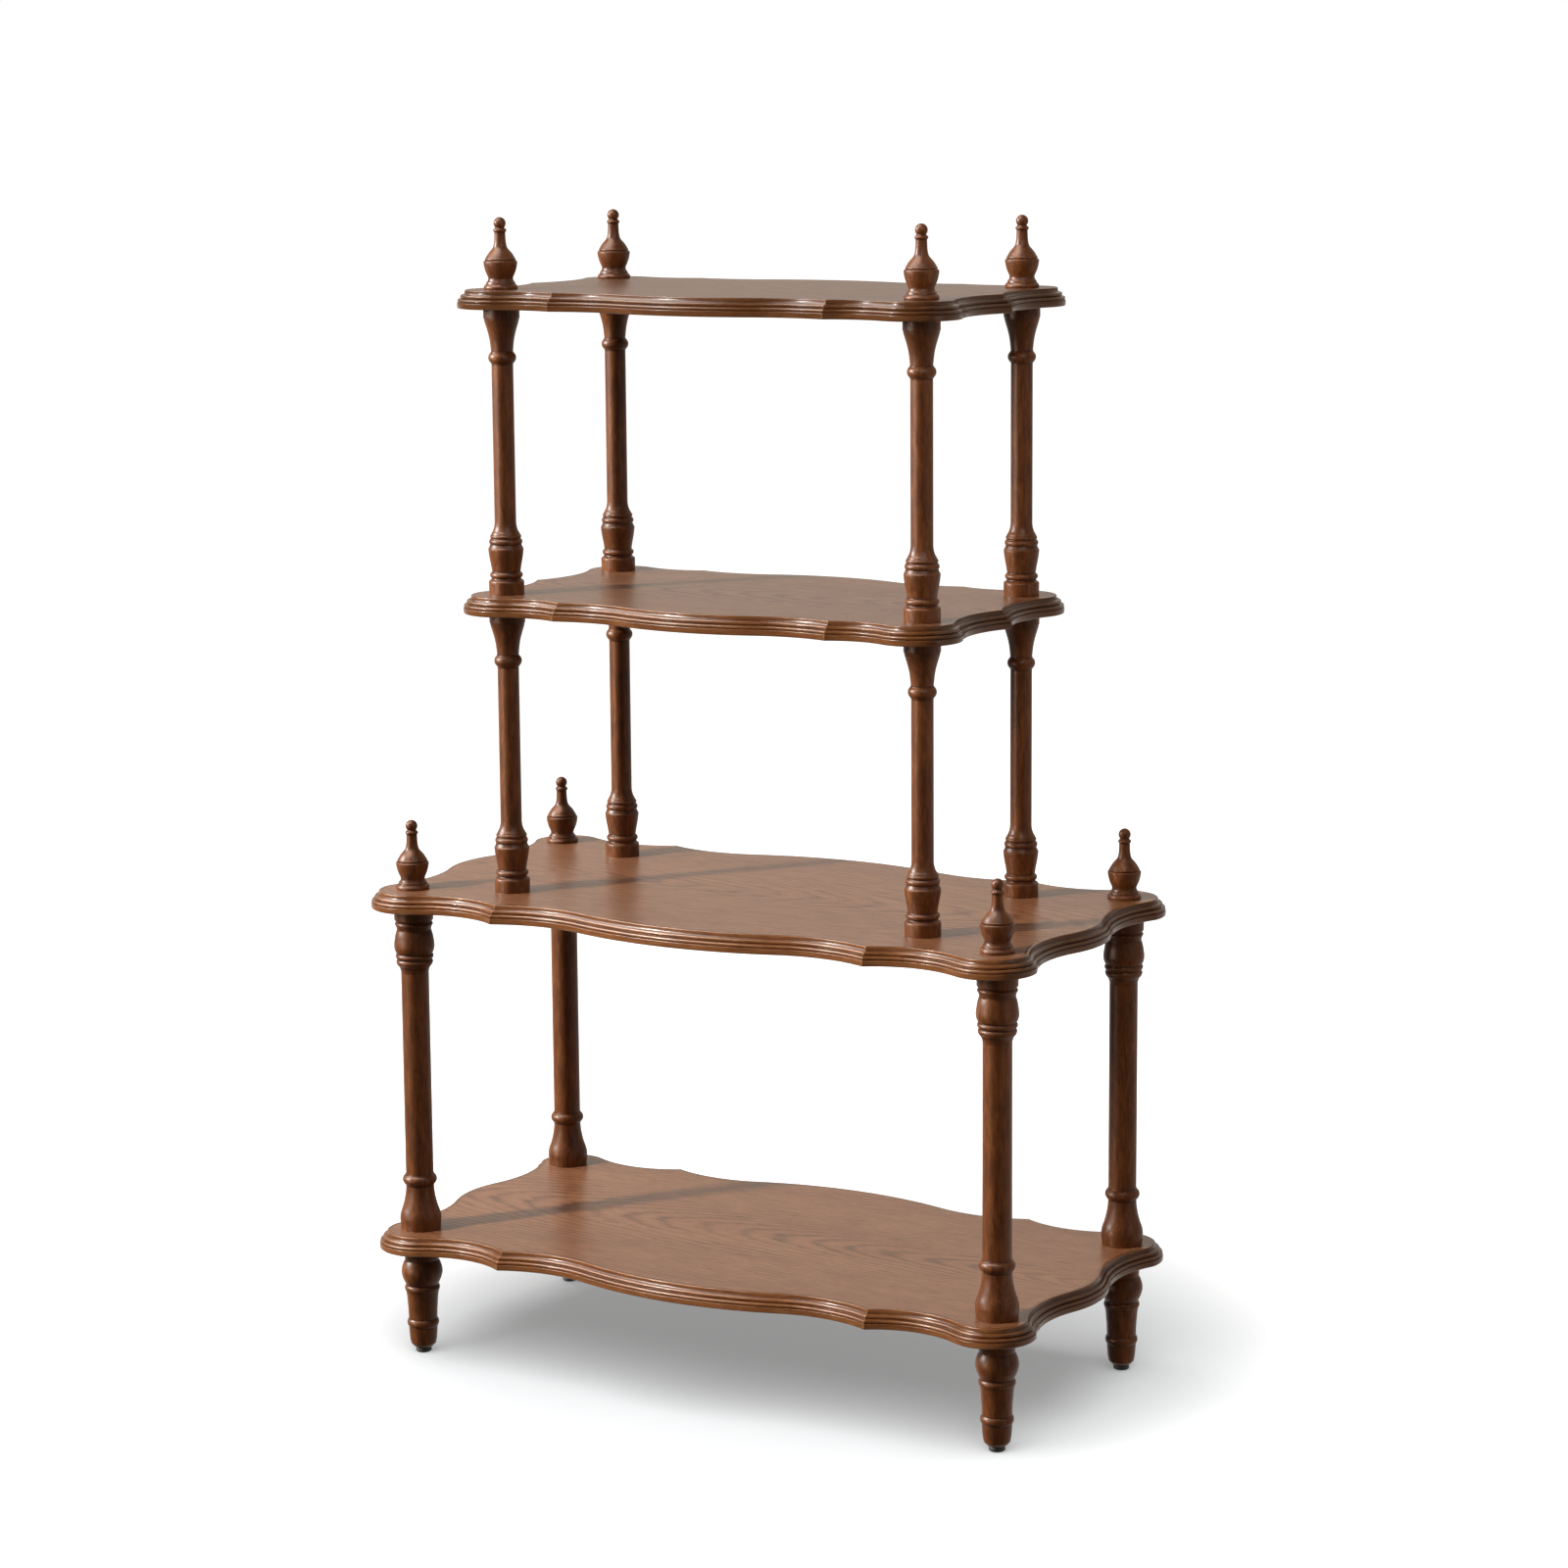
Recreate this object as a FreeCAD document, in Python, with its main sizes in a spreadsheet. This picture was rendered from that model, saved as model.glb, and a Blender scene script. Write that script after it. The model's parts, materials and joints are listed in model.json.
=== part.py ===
"""A four-tier etagere with turned posts, drawn in millimetres.

Two wide shelves stand below two narrow ones. Every shelf has a serpentine edge with a
moulding that runs round it and mitres at the points. Turned feet, posts and finials are
stacked on the corners and held together by hidden double-ended screws, and a levelling
glide is screwed into each foot. The floor is z = 0, the front faces -Y, and the origin is
under the middle of the piece.
"""

import FreeCAD, Part
import math
import os
import Sketcher
from FreeCAD import Vector

# Where the posts stand: the distance between their axes across and from front to back.
wide_post_span = 700.0
wide_post_depth = 300.0
narrow_post_span = 494.0
narrow_post_depth = 225.0

# Lengths of the posts and thickness of the boards.
lower_post_length = 358.0
narrow_post_length = 301.0
board_thickness = 19.0

# Outline of the two wide shelves, measured from the axis of the front right post.
wide_belly_overhang = 59.0
wide_belly_radius = 385.0
wide_inner_hollow_radius = 140.0
wide_point_from_post = 128.0
wide_point_overhang = 47.0
wide_outer_hollow_radius = 95.0
wide_lobe_radius = 46.0
wide_lobe_shift_in = 4.0
wide_lobe_shift_out = 4.0
wide_corner_drop = 26.0
wide_side_hollow_radius = 120.0
wide_side_bump_radius = 120.0
wide_side_overhang = 43.0

# Outline of the two narrow shelves, whose sides end in a point instead of a bump.
narrow_belly_overhang = 60.5
narrow_belly_radius = 250.0
narrow_inner_hollow_radius = 130.0
narrow_point_from_post = 86.0
narrow_point_overhang = 47.5
narrow_outer_hollow_radius = 70.0
narrow_lobe_radius = 46.0
narrow_lobe_shift_in = 3.0
narrow_lobe_shift_out = 4.5
narrow_corner_drop = 17.0
narrow_side_hollow_radius = 110.0
narrow_side_overhang = 44.0

# The moulding under each shelf edge: rise and setback from the outermost line, going up.
# The fascia takes up whatever thickness the quirk, bead, ovolo and top step leave.
fascia_setback = 2.0
quirk_rise = 1.0
quirk_setback = 5.2
edge_bead_rise = 1.2
edge_bead_setback = 4.0
ovolo_low_rise = 4.1
ovolo_low_setback = 5.0
ovolo_mid_rise = 3.5
ovolo_mid_setback = 8.0
ovolo_top_rise = 1.6
ovolo_top_setback = 12.0
top_step_rise = 1.4
top_step_setback = 13.0

# Turned profiles go up step by step: the rise of each step, the radius that it reaches and,
# on a curved step, how far it swells out or hollows in from the straight line.
# The foot: toe, ankle ring, shin, knee ring, bulb and cap.
foot_sole_radius = 10.0
foot_toe_rise = 3.7
foot_toe_radius = 13.8
foot_ankle_rise = 18.7
foot_ankle_radius = 15.4
foot_ankle_ring_rise = 5.3
foot_ankle_ring_radius = 17.4
foot_ankle_groove_rise = 5.0
foot_ankle_groove_radius = 15.7
foot_shin_rise = 30.0
foot_shin_radius = 17.9
foot_shin_hollow = 0.5
foot_knee_ring_rise = 4.0
foot_knee_ring_radius = 19.2
foot_knee_groove_rise = 5.0
foot_knee_groove_radius = 18.0
foot_bulb_rise = 26.0
foot_bulb_radius = 18.4
foot_bulb_swell = 4.2
foot_cap_rise = 17.0
foot_cap_radius = 20.0
foot_cap_hollow = 0.4

# The lower post: a swelling base, a bead, the plain shaft, two rings and an urn under a flange.
lower_base_radius = 21.5
lower_base_swell_rise = 13.0
lower_base_swell_radius = 22.4
lower_base_swell_swell = 0.3
lower_base_sweep_rise = 36.0
lower_base_sweep_hollow = 1.3
lower_bead_rise = 12.0
lower_bead_swell = 3.4
lower_shaft_radius = 15.0
lower_flare_rise = 6.0
lower_flare_radius = 18.8
lower_thin_ring_rise = 3.0
lower_thin_ring_radius = 19.9
lower_thin_groove_rise = 3.0
lower_thin_groove_radius = 18.8
lower_ring_rise = 3.0
lower_ring_radius = 20.6
lower_ring_groove_rise = 3.0
lower_ring_groove_radius = 19.4
lower_urn_shoulder_rise = 6.0
lower_urn_shoulder_radius = 21.7
lower_urn_rise = 20.0
lower_urn_radius = 18.6
lower_urn_swell = 0.85
lower_neck_ring_rise = 6.0
lower_neck_ring_radius = 20.6
lower_neck_groove_rise = 2.5
lower_neck_groove_radius = 19.3
lower_flange_lip_rise = 1.5
lower_flange_rise = 16.0
lower_flange_radius = 21.0

# The narrow post, used on two tiers: collar, ring, cup, rings, cove, shaft, bead and trumpet.
narrow_collar_radius = 18.7
narrow_collar_rise = 14.5
narrow_collar_groove_rise = 3.0
narrow_collar_groove_radius = 15.6
narrow_ring_rise = 3.0
narrow_ring_radius = 17.2
narrow_cup_neck_rise = 4.0
narrow_cup_neck_radius = 15.0
narrow_cup_rise = 23.5
narrow_cup_radius = 18.6
narrow_cup_swell = 0.3
narrow_cup_lid_rise = 5.0
narrow_cup_lid_radius = 16.6
narrow_lid_ring_rise = 3.0
narrow_lid_ring_radius = 17.6
narrow_lid_groove_rise = 3.5
narrow_lid_groove_radius = 15.8
narrow_thin_ring_rise = 2.0
narrow_thin_ring_radius = 16.5
narrow_cove_rise = 13.5
narrow_cove_hollow = 1.1
narrow_shaft_radius = 11.4
narrow_bead_rise = 11.0
narrow_bead_swell = 3.3
narrow_trumpet_rise = 34.5
narrow_trumpet_radius = 18.2
narrow_trumpet_hollow = 1.25
narrow_flange_lip_rise = 1.0
narrow_flange_rise = 11.0
narrow_flange_radius = 19.0

# The finial: a foot, a waisted cup with a lid, a drawn-out neck, a ring and a ball.
finial_foot_radius = 17.8
finial_foot_rise = 3.0
finial_foot_step_rise = 2.5
finial_foot_step_radius = 15.6
finial_waist_rise = 5.3
finial_waist_radius = 12.9
finial_cup_rise = 13.2
finial_cup_radius = 17.2
finial_cup_swell = 0.4
finial_rim_rise = 4.5
finial_rim_radius = 17.6
finial_rim_groove_rise = 3.0
finial_rim_groove_radius = 15.3
finial_lid_rise = 8.0
finial_lid_radius = 10.5
finial_lid_swell = 0.45
finial_neck_rise = 10.5
finial_neck_radius = 6.0
finial_neck_hollow = 1.4
finial_spire_rise = 9.0
finial_spire_radius = 5.7
finial_ring_rise = 2.0
finial_ring_radius = 6.85
finial_ball_neck_rise = 2.55
finial_ball_neck_radius = 4.5
finial_ball_radius = 6.4

# Double-ended screws join the stacked pieces through the shelves.
dowel_screw_radius = 4.0
dowel_bore_clearance = 0.05
dowel_shelf_clearance = 0.5
dowel_end_clearance = 1.0
dowel_depth_in_post = 30.0
dowel_depth_in_foot = 30.0
dowel_depth_in_finial = 20.0

# Screws that rise through the second shelf into the narrow posts.
post_screw_radius = 3.0
post_screw_head_radius = 6.0
post_screw_head_height = 3.5
post_screw_depth_in_post = 32.0
post_screw_recess_depth = 5.0
post_screw_bore_clearance = 0.05
post_screw_shelf_clearance = 0.3

# Levelling glides: a round pad, a steel stem and a brass insert pressed into the foot.
glide_pad_height = 6.0
glide_pad_radius = 8.5
glide_pad_socket_depth = 3.0
glide_gap_under_foot = 0.3
glide_stem_radius = 4.0
glide_stem_length = 25.0
glide_stem_clearance = 0.05
glide_stem_side_room = 0.5
glide_stem_top_room = 3.0
glide_insert_radius = 6.0
glide_insert_length = 18.0
glide_insert_clearance = 0.03

doc = FreeCAD.newDocument("Etagere")
sheet = doc.addObject("Spreadsheet::Sheet", "Sizes")
rows = {"used": 0}


class Size:
    """A length together with the sheet formula that gives it."""

    def __init__(self, value, text):
        self.value = float(value)
        self.text = text

    def __add__(self, other):
        other = sized(other)
        return Size(self.value + other.value, f"({self.text} + {other.text})")

    def __sub__(self, other):
        other = sized(other)
        return Size(self.value - other.value, f"({self.text} - {other.text})")

    def __mul__(self, other):
        other = sized(other)
        return Size(self.value * other.value, f"({self.text} * {other.text})")

    def __truediv__(self, other):
        other = sized(other)
        return Size(self.value / other.value, f"({self.text} / {other.text})")


def sized(item):
    """A plain number becomes a size that the sheet reads as it stands."""
    return item if isinstance(item, Size) else Size(item, repr(float(item)))


def root(size):
    """The square root of a size."""
    return Size(math.sqrt(size.value), f"sqrt({size.text})")


def next_cell(name, content):
    """Write one named cell of the sheet."""
    rows["used"] += 1
    sheet.set(f"A{rows['used']}", name)
    sheet.set(f"B{rows['used']}", content)
    sheet.setAlias(f"B{rows['used']}", name)


def worked_out(name, size):
    """A size that follows from others, kept in the sheet under its own name."""
    next_cell(name, "=" + size.text.replace("Sizes.", ""))
    return Size(size.value, f"Sizes.{name}")


def total(sizes):
    """The sum of several sizes."""
    result = sized(0)
    for size in sizes:
        result = result + size
    return result


# Every size named above goes into the sheet under its own name.
size = {}
for name, value in list(globals().items()):
    if isinstance(value, float):
        next_cell(name, str(value))
        size[name] = Size(value, f"Sizes.{name}")

WIDE = (size["wide_post_span"] / 2, size["wide_post_depth"] / 2)
NARROW = (size["narrow_post_span"] / 2, size["narrow_post_depth"] / 2)
CORNERS = (("front_left", -1, -1), ("front_right", 1, -1), ("rear_left", -1, 1), ("rear_right", 1, 1))
board = size["board_thickness"]
dowel_radius = size["dowel_screw_radius"]
dowel_bore = dowel_radius + size["dowel_bore_clearance"]
post_bite = size["dowel_depth_in_post"]
foot_bite = size["dowel_depth_in_foot"]
finial_bite = size["dowel_depth_in_finial"]


def station(name, radius=None):
    """One step up a turned profile: its rise, the radius it reaches and its bow outward."""
    bow = size.get(f"{name}_swell")
    hollow = size.get(f"{name}_hollow")
    if hollow is not None:
        bow = hollow * -1
    return (size[f"{name}_rise"], radius or size[f"{name}_radius"], bow)


def climb(profile):
    """How far a run of steps rises."""
    return total(step[0] for step in profile)


foot_profile = [
    station("foot_toe"),
    station("foot_ankle"),
    station("foot_ankle_ring"),
    station("foot_ankle_groove"),
    station("foot_shin"),
    station("foot_knee_ring"),
    station("foot_knee_groove"),
    station("foot_bulb"),
    station("foot_cap"),
]

lower_shaft = size["lower_shaft_radius"]
lower_below = [
    station("lower_base_swell"),
    station("lower_base_sweep", lower_shaft),
    station("lower_bead", lower_shaft),
]
lower_above = [
    station("lower_flare"),
    station("lower_thin_ring"),
    station("lower_thin_groove"),
    station("lower_ring"),
    station("lower_ring_groove"),
    station("lower_urn_shoulder"),
    station("lower_urn"),
    station("lower_neck_ring"),
    station("lower_neck_groove"),
    station("lower_flange_lip", size["lower_flange_radius"]),
    station("lower_flange"),
]
lower_length = size["lower_post_length"]
lower_plain = worked_out("lower_shaft_rise", lower_length - climb(lower_below) - climb(lower_above))
lower_profile = lower_below + [(lower_plain, lower_shaft, None)] + lower_above

narrow_shaft = size["narrow_shaft_radius"]
narrow_below = [
    station("narrow_collar"),
    station("narrow_collar_groove"),
    station("narrow_ring"),
    station("narrow_cup_neck"),
    station("narrow_cup"),
    station("narrow_cup_lid"),
    station("narrow_lid_ring"),
    station("narrow_lid_groove"),
    station("narrow_thin_ring"),
    station("narrow_cove", narrow_shaft),
]
narrow_above = [
    station("narrow_bead", narrow_shaft),
    station("narrow_trumpet"),
    station("narrow_flange_lip", size["narrow_flange_radius"]),
    station("narrow_flange"),
]
narrow_length = size["narrow_post_length"]
narrow_plain = worked_out("narrow_shaft_rise", narrow_length - climb(narrow_below) - climb(narrow_above))
narrow_profile = narrow_below + [(narrow_plain, narrow_shaft, None)] + narrow_above

ball_radius = size["finial_ball_radius"]
ball_neck = size["finial_ball_neck_radius"]
ball_rise = worked_out("finial_ball_rise", root(ball_radius * ball_radius - ball_neck * ball_neck) + ball_radius)
ball_bow = worked_out(
    "finial_ball_bow",
    ball_radius - root(ball_radius * ball_radius - (ball_rise * ball_rise + ball_neck * ball_neck) / 4),
)
finial_profile = [
    station("finial_foot"),
    station("finial_foot_step"),
    station("finial_waist"),
    station("finial_cup"),
    station("finial_rim"),
    station("finial_rim_groove"),
    station("finial_lid"),
    station("finial_neck"),
    station("finial_spire"),
    station("finial_ring"),
    station("finial_ball_neck"),
    (ball_rise, None, ball_bow),
]

# The levels that the pieces stand on.
foot_level = worked_out("foot_level", size["glide_pad_height"] + size["glide_gap_under_foot"])
bottom_level = worked_out("bottom_shelf_level", foot_level + climb(foot_profile))
lower_post_level = worked_out("lower_post_level", bottom_level + board)
second_level = worked_out("second_shelf_level", lower_post_level + lower_length)
middle_post_level = worked_out("middle_post_level", second_level + board)
third_level = worked_out("third_shelf_level", middle_post_level + narrow_length)
upper_post_level = worked_out("upper_post_level", third_level + board)
top_level = worked_out("top_shelf_level", upper_post_level + narrow_length)
top_finial_level = worked_out("top_finial_level", top_level + board)

STEPS = ("quirk", "edge_bead", "ovolo_low", "ovolo_mid", "ovolo_top", "top_step")
fascia_rise = worked_out("fascia_rise", board - total(size[f"{step}_rise"] for step in STEPS))
MOULDING = [(sized(0), sized(0)), (fascia_rise, size["fascia_setback"])]
for step in STEPS:
    MOULDING.append((MOULDING[-1][0] + size[f"{step}_rise"], size[f"{step}_setback"]))


def kept(name, point):
    """Keep a point of an outline in the sheet."""
    return (worked_out(f"{name}_x", point[0]), worked_out(f"{name}_y", point[1]))


def crossing(name, first, first_radius, second, second_radius, side):
    """Where two circles cross, on the left (side 1) or right (-1) of the line of centres."""
    across = second[0] - first[0]
    along = second[1] - first[1]
    gap = worked_out(f"{name}_gap", root(across * across + along * along))
    reach = worked_out(
        f"{name}_reach",
        (first_radius * first_radius - second_radius * second_radius + gap * gap) / (gap * 2),
    )
    rise = worked_out(f"{name}_rise", root(first_radius * first_radius - reach * reach) * side)
    return kept(
        name,
        (
            first[0] + (reach * across - rise * along) / gap,
            first[1] + (reach * along + rise * across) / gap,
        ),
    )


def toward(name, centre, radius, target, gap):
    """The point of a circle that faces the centre of the circle that it touches."""
    return kept(
        name,
        (
            centre[0] + (target[0] - centre[0]) * radius / gap,
            centre[1] + (target[1] - centre[1]) * radius / gap,
        ),
    )


class Outline:
    """A quarter of a serpentine edge, from the middle of the front to the middle of a side.

    The belly runs into a hollow that ends at a point, a second hollow runs into the lobe
    round the post, and past the lobe's corner a last hollow runs to the middle of the side,
    where it meets either a bump or its own mirror image.
    """

    def __init__(self, name, post, bump):
        self.name = name
        own = {key[len(name) + 1:]: item for key, item in size.items() if key.startswith(f"{name}_")}
        self.belly_radius = own["belly_radius"]
        self.inner_radius = own["inner_hollow_radius"]
        self.outer_radius = own["outer_hollow_radius"]
        self.lobe_radius = own["lobe_radius"]
        self.side_radius = own["side_hollow_radius"]
        belly_reach = post[1] + own["belly_overhang"]
        self.belly = (sized(0), belly_reach - self.belly_radius)
        point = kept(f"{name}_point", (post[0] - own["point_from_post"], post[1] + own["point_overhang"]))
        self.lobe = kept(f"{name}_lobe", (post[0] - own["lobe_shift_in"], post[1] + own["lobe_shift_out"]))
        drop = own["corner_drop"]
        corner = kept(
            f"{name}_corner",
            (self.lobe[0] + root(self.lobe_radius * self.lobe_radius - drop * drop), self.lobe[1] - drop),
        )
        self.inner = crossing(
            f"{name}_inner_hollow",
            self.belly,
            self.belly_radius + self.inner_radius,
            point,
            self.inner_radius,
            1,
        )
        self.outer = crossing(
            f"{name}_outer_hollow",
            self.lobe,
            self.lobe_radius + self.outer_radius,
            point,
            self.outer_radius,
            -1,
        )
        side_reach = post[0] + own["side_overhang"]
        self.bump_radius = own["side_bump_radius"] if bump else sized(0)
        self.bump = (side_reach - self.bump_radius, sized(0)) if bump else (side_reach, sized(0))
        self.has_bump = bump
        self.side = crossing(
            f"{name}_side_hollow",
            self.bump,
            self.bump_radius + self.side_radius,
            corner,
            self.side_radius,
            -1,
        )

    def quarter(self, level, inset):
        """The ends of the quarter's arcs, moved inward by an inset."""
        tag = f"{self.name}_{level}"
        inner = self.inner_radius + inset
        outer = self.outer_radius + inset
        side = self.side_radius + inset
        lobe = self.lobe_radius - inset
        points = [
            toward(
                f"{tag}_belly_end",
                self.belly,
                self.belly_radius - inset,
                self.inner,
                self.belly_radius + self.inner_radius,
            ),
            crossing(f"{tag}_point", self.inner, inner, self.outer, outer, -1),
            toward(f"{tag}_lobe_start", self.lobe, lobe, self.outer, self.lobe_radius + self.outer_radius),
            crossing(f"{tag}_corner", self.lobe, lobe, self.side, side, 1),
        ]
        radii = [(inner, -1), (outer, -1), (lobe, 1), (side, -1)]
        if self.has_bump:
            points.append(
                toward(
                    f"{tag}_bump_start",
                    self.bump,
                    self.bump_radius - inset,
                    self.side,
                    self.bump_radius + self.side_radius,
                )
            )
            return points, radii, (self.bump_radius - inset, 1)
        reach = self.side[0] - root(side * side - self.side[1] * self.side[1])
        points.append((worked_out(f"{tag}_side_point", reach), sized(0)))
        return points, radii, None

    def loop(self, level, inset):
        """The whole edge as corners and the arcs that join them, anticlockwise from above."""
        quarter, radii, bump = self.quarter(level, inset)
        belly = (self.belly_radius - inset, 1)
        corners = []
        arcs = []
        for across, along, forward in ((1, -1, True), (1, 1, False), (-1, 1, True), (-1, -1, False)):
            points = [(x * across, y * along) for x, y in quarter]
            bends = list(radii)
            if not forward:
                points.reverse()
                bends.reverse()
            last = bump if forward else belly
            corners.extend(points)
            arcs.extend(bends)
            if last is None:
                corners.pop()
            else:
                arcs.append(last)
        return corners, arcs


wide_outline = Outline("wide", WIDE, True)
narrow_outline = Outline("narrow", NARROW, False)
LOOPS = {
    outline.name: [(height, outline.loop(level, inset)) for level, (height, inset) in enumerate(MOULDING)]
    for outline in (wide_outline, narrow_outline)
}


def plane_of(body, role):
    """One of a body's own origin planes."""
    return next(item for item in body.Origin.OriginFeatures if item.Role == role)


def new_sketch(body, name, role, height=None):
    """A sketch on an origin plane of its body, raised by a height if there is one."""
    sketch = body.newObject("Sketcher::SketchObject", name)
    sketch.AttachmentSupport = (plane_of(body, role), [""])
    sketch.MapMode = "FlatFace"
    if height is not None:
        sketch.AttachmentOffset = FreeCAD.Placement(Vector(0, 0, height.value), FreeCAD.Rotation())
        sketch.setExpression("AttachmentOffset.Base.z", height.text)
    return sketch


def arc_between(start, end, radius, turn):
    """The shorter arc from start to end; turn 1 bends anticlockwise, -1 clockwise."""
    chord = end - start
    half = chord.Length / 2
    sag = math.sqrt(max(radius * radius - half * half, 0.0))
    left = Vector(-chord.y, chord.x, 0).normalize()
    centre = (start + end) * 0.5 + left * (sag * turn)
    first, last = (start, end) if turn > 0 else (end, start)
    angle_first = math.atan2(first.y - centre.y, first.x - centre.x)
    angle_last = math.atan2(last.y - centre.y, last.x - centre.x)
    if angle_last < angle_first:
        angle_last += 2 * math.pi
    return Part.ArcOfCircle(Part.Circle(centre, Vector(0, 0, 1), radius), angle_first, angle_last)


def draw_loop(sketch, corners, bends):
    """A closed loop through corners tied to the sheet, each side straight or an arc."""
    count = len(corners)
    spots = [Vector(x.value, y.value, 0) for x, y in corners]
    sides = []
    ends = []
    for index, bend in enumerate(bends):
        start = spots[index]
        end = spots[(index + 1) % count]
        if bend is None:
            sides.append(Part.LineSegment(start, end))
            ends.append((1, 2))
        else:
            sides.append(arc_between(start, end, bend[0].value, bend[1]))
            ends.append((1, 2) if bend[1] > 0 else (2, 1))
    sketch.addGeometry(sides, False)
    rules = []
    ties = []
    for index, (x, y) in enumerate(corners):
        before = (index - 1) % count
        rules.append(Sketcher.Constraint("Coincident", before, ends[before][1], index, ends[index][0]))
        for kind, size, axis in (("DistanceX", x, -2), ("DistanceY", y, -1)):
            if abs(size.value) < 1e-9:
                rules.append(Sketcher.Constraint("PointOnObject", index, ends[index][0], axis))
            else:
                ties.append((len(rules), size))
                rules.append(Sketcher.Constraint(kind, index, ends[index][0], size.value))
    for index, bend in enumerate(bends):
        if bend is not None:
            ties.append((len(rules), bend[0]))
            rules.append(Sketcher.Constraint("Radius", index, bend[0].value))
    sketch.addConstraint(rules)
    for place, size in ties:
        sketch.setExpression(f"Constraints[{place}]", size.text)


def put(item, x, y, z):
    """Place a piece, tied to the sheet."""
    item.Placement = FreeCAD.Placement(Vector(x.value, y.value, z.value), FreeCAD.Rotation())
    for axis, size in (("x", x), ("y", y), ("z", z)):
        item.setExpression(f"Placement.Base.{axis}", size.text)


def arc_radius(rise, spread, bow):
    """The radius of an arc from its chord and the height of its bow."""
    return (rise * rise + spread * spread) / (bow * 8) + bow / 2


def turned(label, start, profile, bottom_bore, top_bore, place):
    """A piece turned about its own axis, with stepped bores in its ends.

    The profile goes up from the start radius. Each bore is a list of radius and depth,
    widest first, and an end without a bore is left whole.
    """
    body = doc.addObject("PartDesign::Body", label)
    body.Label = label
    zero = sized(0)
    corners = [(start, zero)]
    bends = []
    height = zero
    for rise, radius, bow in profile:
        new_height = height + rise
        new_radius = zero if radius is None else radius
        if bow is None:
            bends.append(None)
        else:
            depth = bow if bow.value > 0 else bow * -1
            bend = arc_radius(rise, new_radius - corners[-1][0], depth)
            bends.append((bend, 1 if bow.value > 0 else -1))
        corners.append((new_radius, new_height))
        height = new_height
    if top_bore:
        reach = zero
        for radius, depth in top_bore:
            corners.append((radius, height - reach))
            corners.append((radius, height - depth))
            bends.extend([None, None])
            reach = depth
        corners.append((zero, height - reach))
        bends.append(None)
    elif corners[-1][0].value > 0:
        corners.append((zero, height))
        bends.append(None)
    if bottom_bore:
        reach = bottom_bore[-1][1]
        corners.append((zero, reach))
        bends.append(None)
        for index in range(len(bottom_bore) - 1, -1, -1):
            radius, depth = bottom_bore[index]
            below = bottom_bore[index - 1][1] if index else zero
            corners.append((radius, depth))
            corners.append((radius, below))
            bends.extend([None, None])
        bends.append(None)
    else:
        corners.append((zero, zero))
        bends.extend([None, None])
    sketch = new_sketch(body, f"{label}_profile", "XZ_Plane")
    draw_loop(sketch, corners, bends)
    turning = body.newObject("PartDesign::Revolution", f"{label}_turning")
    turning.Profile = sketch
    turning.ReferenceAxis = (sketch, ["V_Axis"])
    turning.Angle = 360.0
    body.Tip = turning
    put(body, *place)
    return body


def drill(body, label, tool, spots, radius, depth=None):
    """Round holes up from the underside of a shelf, right through or to a depth."""
    sketch = new_sketch(body, f"{label}_{tool}_plan", "XY_Plane")
    rules = []
    ties = []
    for index, (x, y) in enumerate(spots):
        centre = Vector(x.value, y.value, 0)
        sketch.addGeometry(Part.Circle(centre, Vector(0, 0, 1), radius.value), False)
        for kind, size in (("DistanceX", x), ("DistanceY", y)):
            ties.append((len(rules), size))
            rules.append(Sketcher.Constraint(kind, index, 3, size.value))
        ties.append((len(rules), radius))
        rules.append(Sketcher.Constraint("Radius", index, radius.value))
    sketch.addConstraint(rules)
    for place, size in ties:
        sketch.setExpression(f"Constraints[{place}]", size.text)
    pocket = body.newObject("PartDesign::Pocket", f"{label}_{tool}")
    pocket.Profile = sketch
    pocket.Reversed = True
    pocket.Type = "Length"
    deep = board if depth is None else depth
    pocket.Length = deep.value
    pocket.setExpression("Length", deep.text)
    body.Tip = pocket
    return pocket


def shelf(label, outline, drilled, level):
    """A board with a moulded serpentine edge and its screw holes."""
    body = doc.addObject("PartDesign::Body", label)
    body.Label = label
    sketches = []
    for number, (height, (corners, arcs)) in enumerate(LOOPS[outline.name]):
        raised = height if number else None
        sketch = new_sketch(body, f"{label}_edge_{number}", "XY_Plane", raised)
        draw_loop(sketch, corners, arcs)
        sketches.append(sketch)
    edge = body.newObject("PartDesign::AdditiveLoft", f"{label}_moulded_board")
    edge.Profile = sketches[0]
    edge.Sections = sketches[1:]
    edge.Ruled = True
    body.Tip = edge
    for tool, spots, radius, depth in drilled:
        drill(body, label, tool, spots, radius, depth)
    put(body, sized(0), sized(0), level)
    return body


def four(post):
    """The four corners that a pair of half spans gives."""
    return [(post[0] * across, post[1] * along) for corner, across, along in CORNERS]


def rods(label, spots, level, lengths):
    """Four identical round pieces, each a stack of plain lengths from the level upward."""
    pieces = []
    for (corner, across, along), (x, y) in zip(CORNERS, spots):
        parts = []
        base = level
        for number, (radius, length) in enumerate(lengths):
            rod = doc.addObject("Part::Cylinder", f"{label}_{corner}_{number}")
            rod.Radius = radius.value
            rod.Height = length.value
            rod.setExpression("Radius", radius.text)
            rod.setExpression("Height", length.text)
            put(rod, x, y, base)
            parts.append(rod)
            base = base + length
        if len(parts) > 1:
            joined = doc.addObject("Part::MultiFuse", f"{label}_{corner}_whole")
            joined.Shapes = parts
            joined.Refine = True
            parts = [joined]
        pieces.extend(parts)
    group = doc.addObject("Part::Compound", label)
    group.Links = pieces
    group.Label = label
    return group


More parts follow.
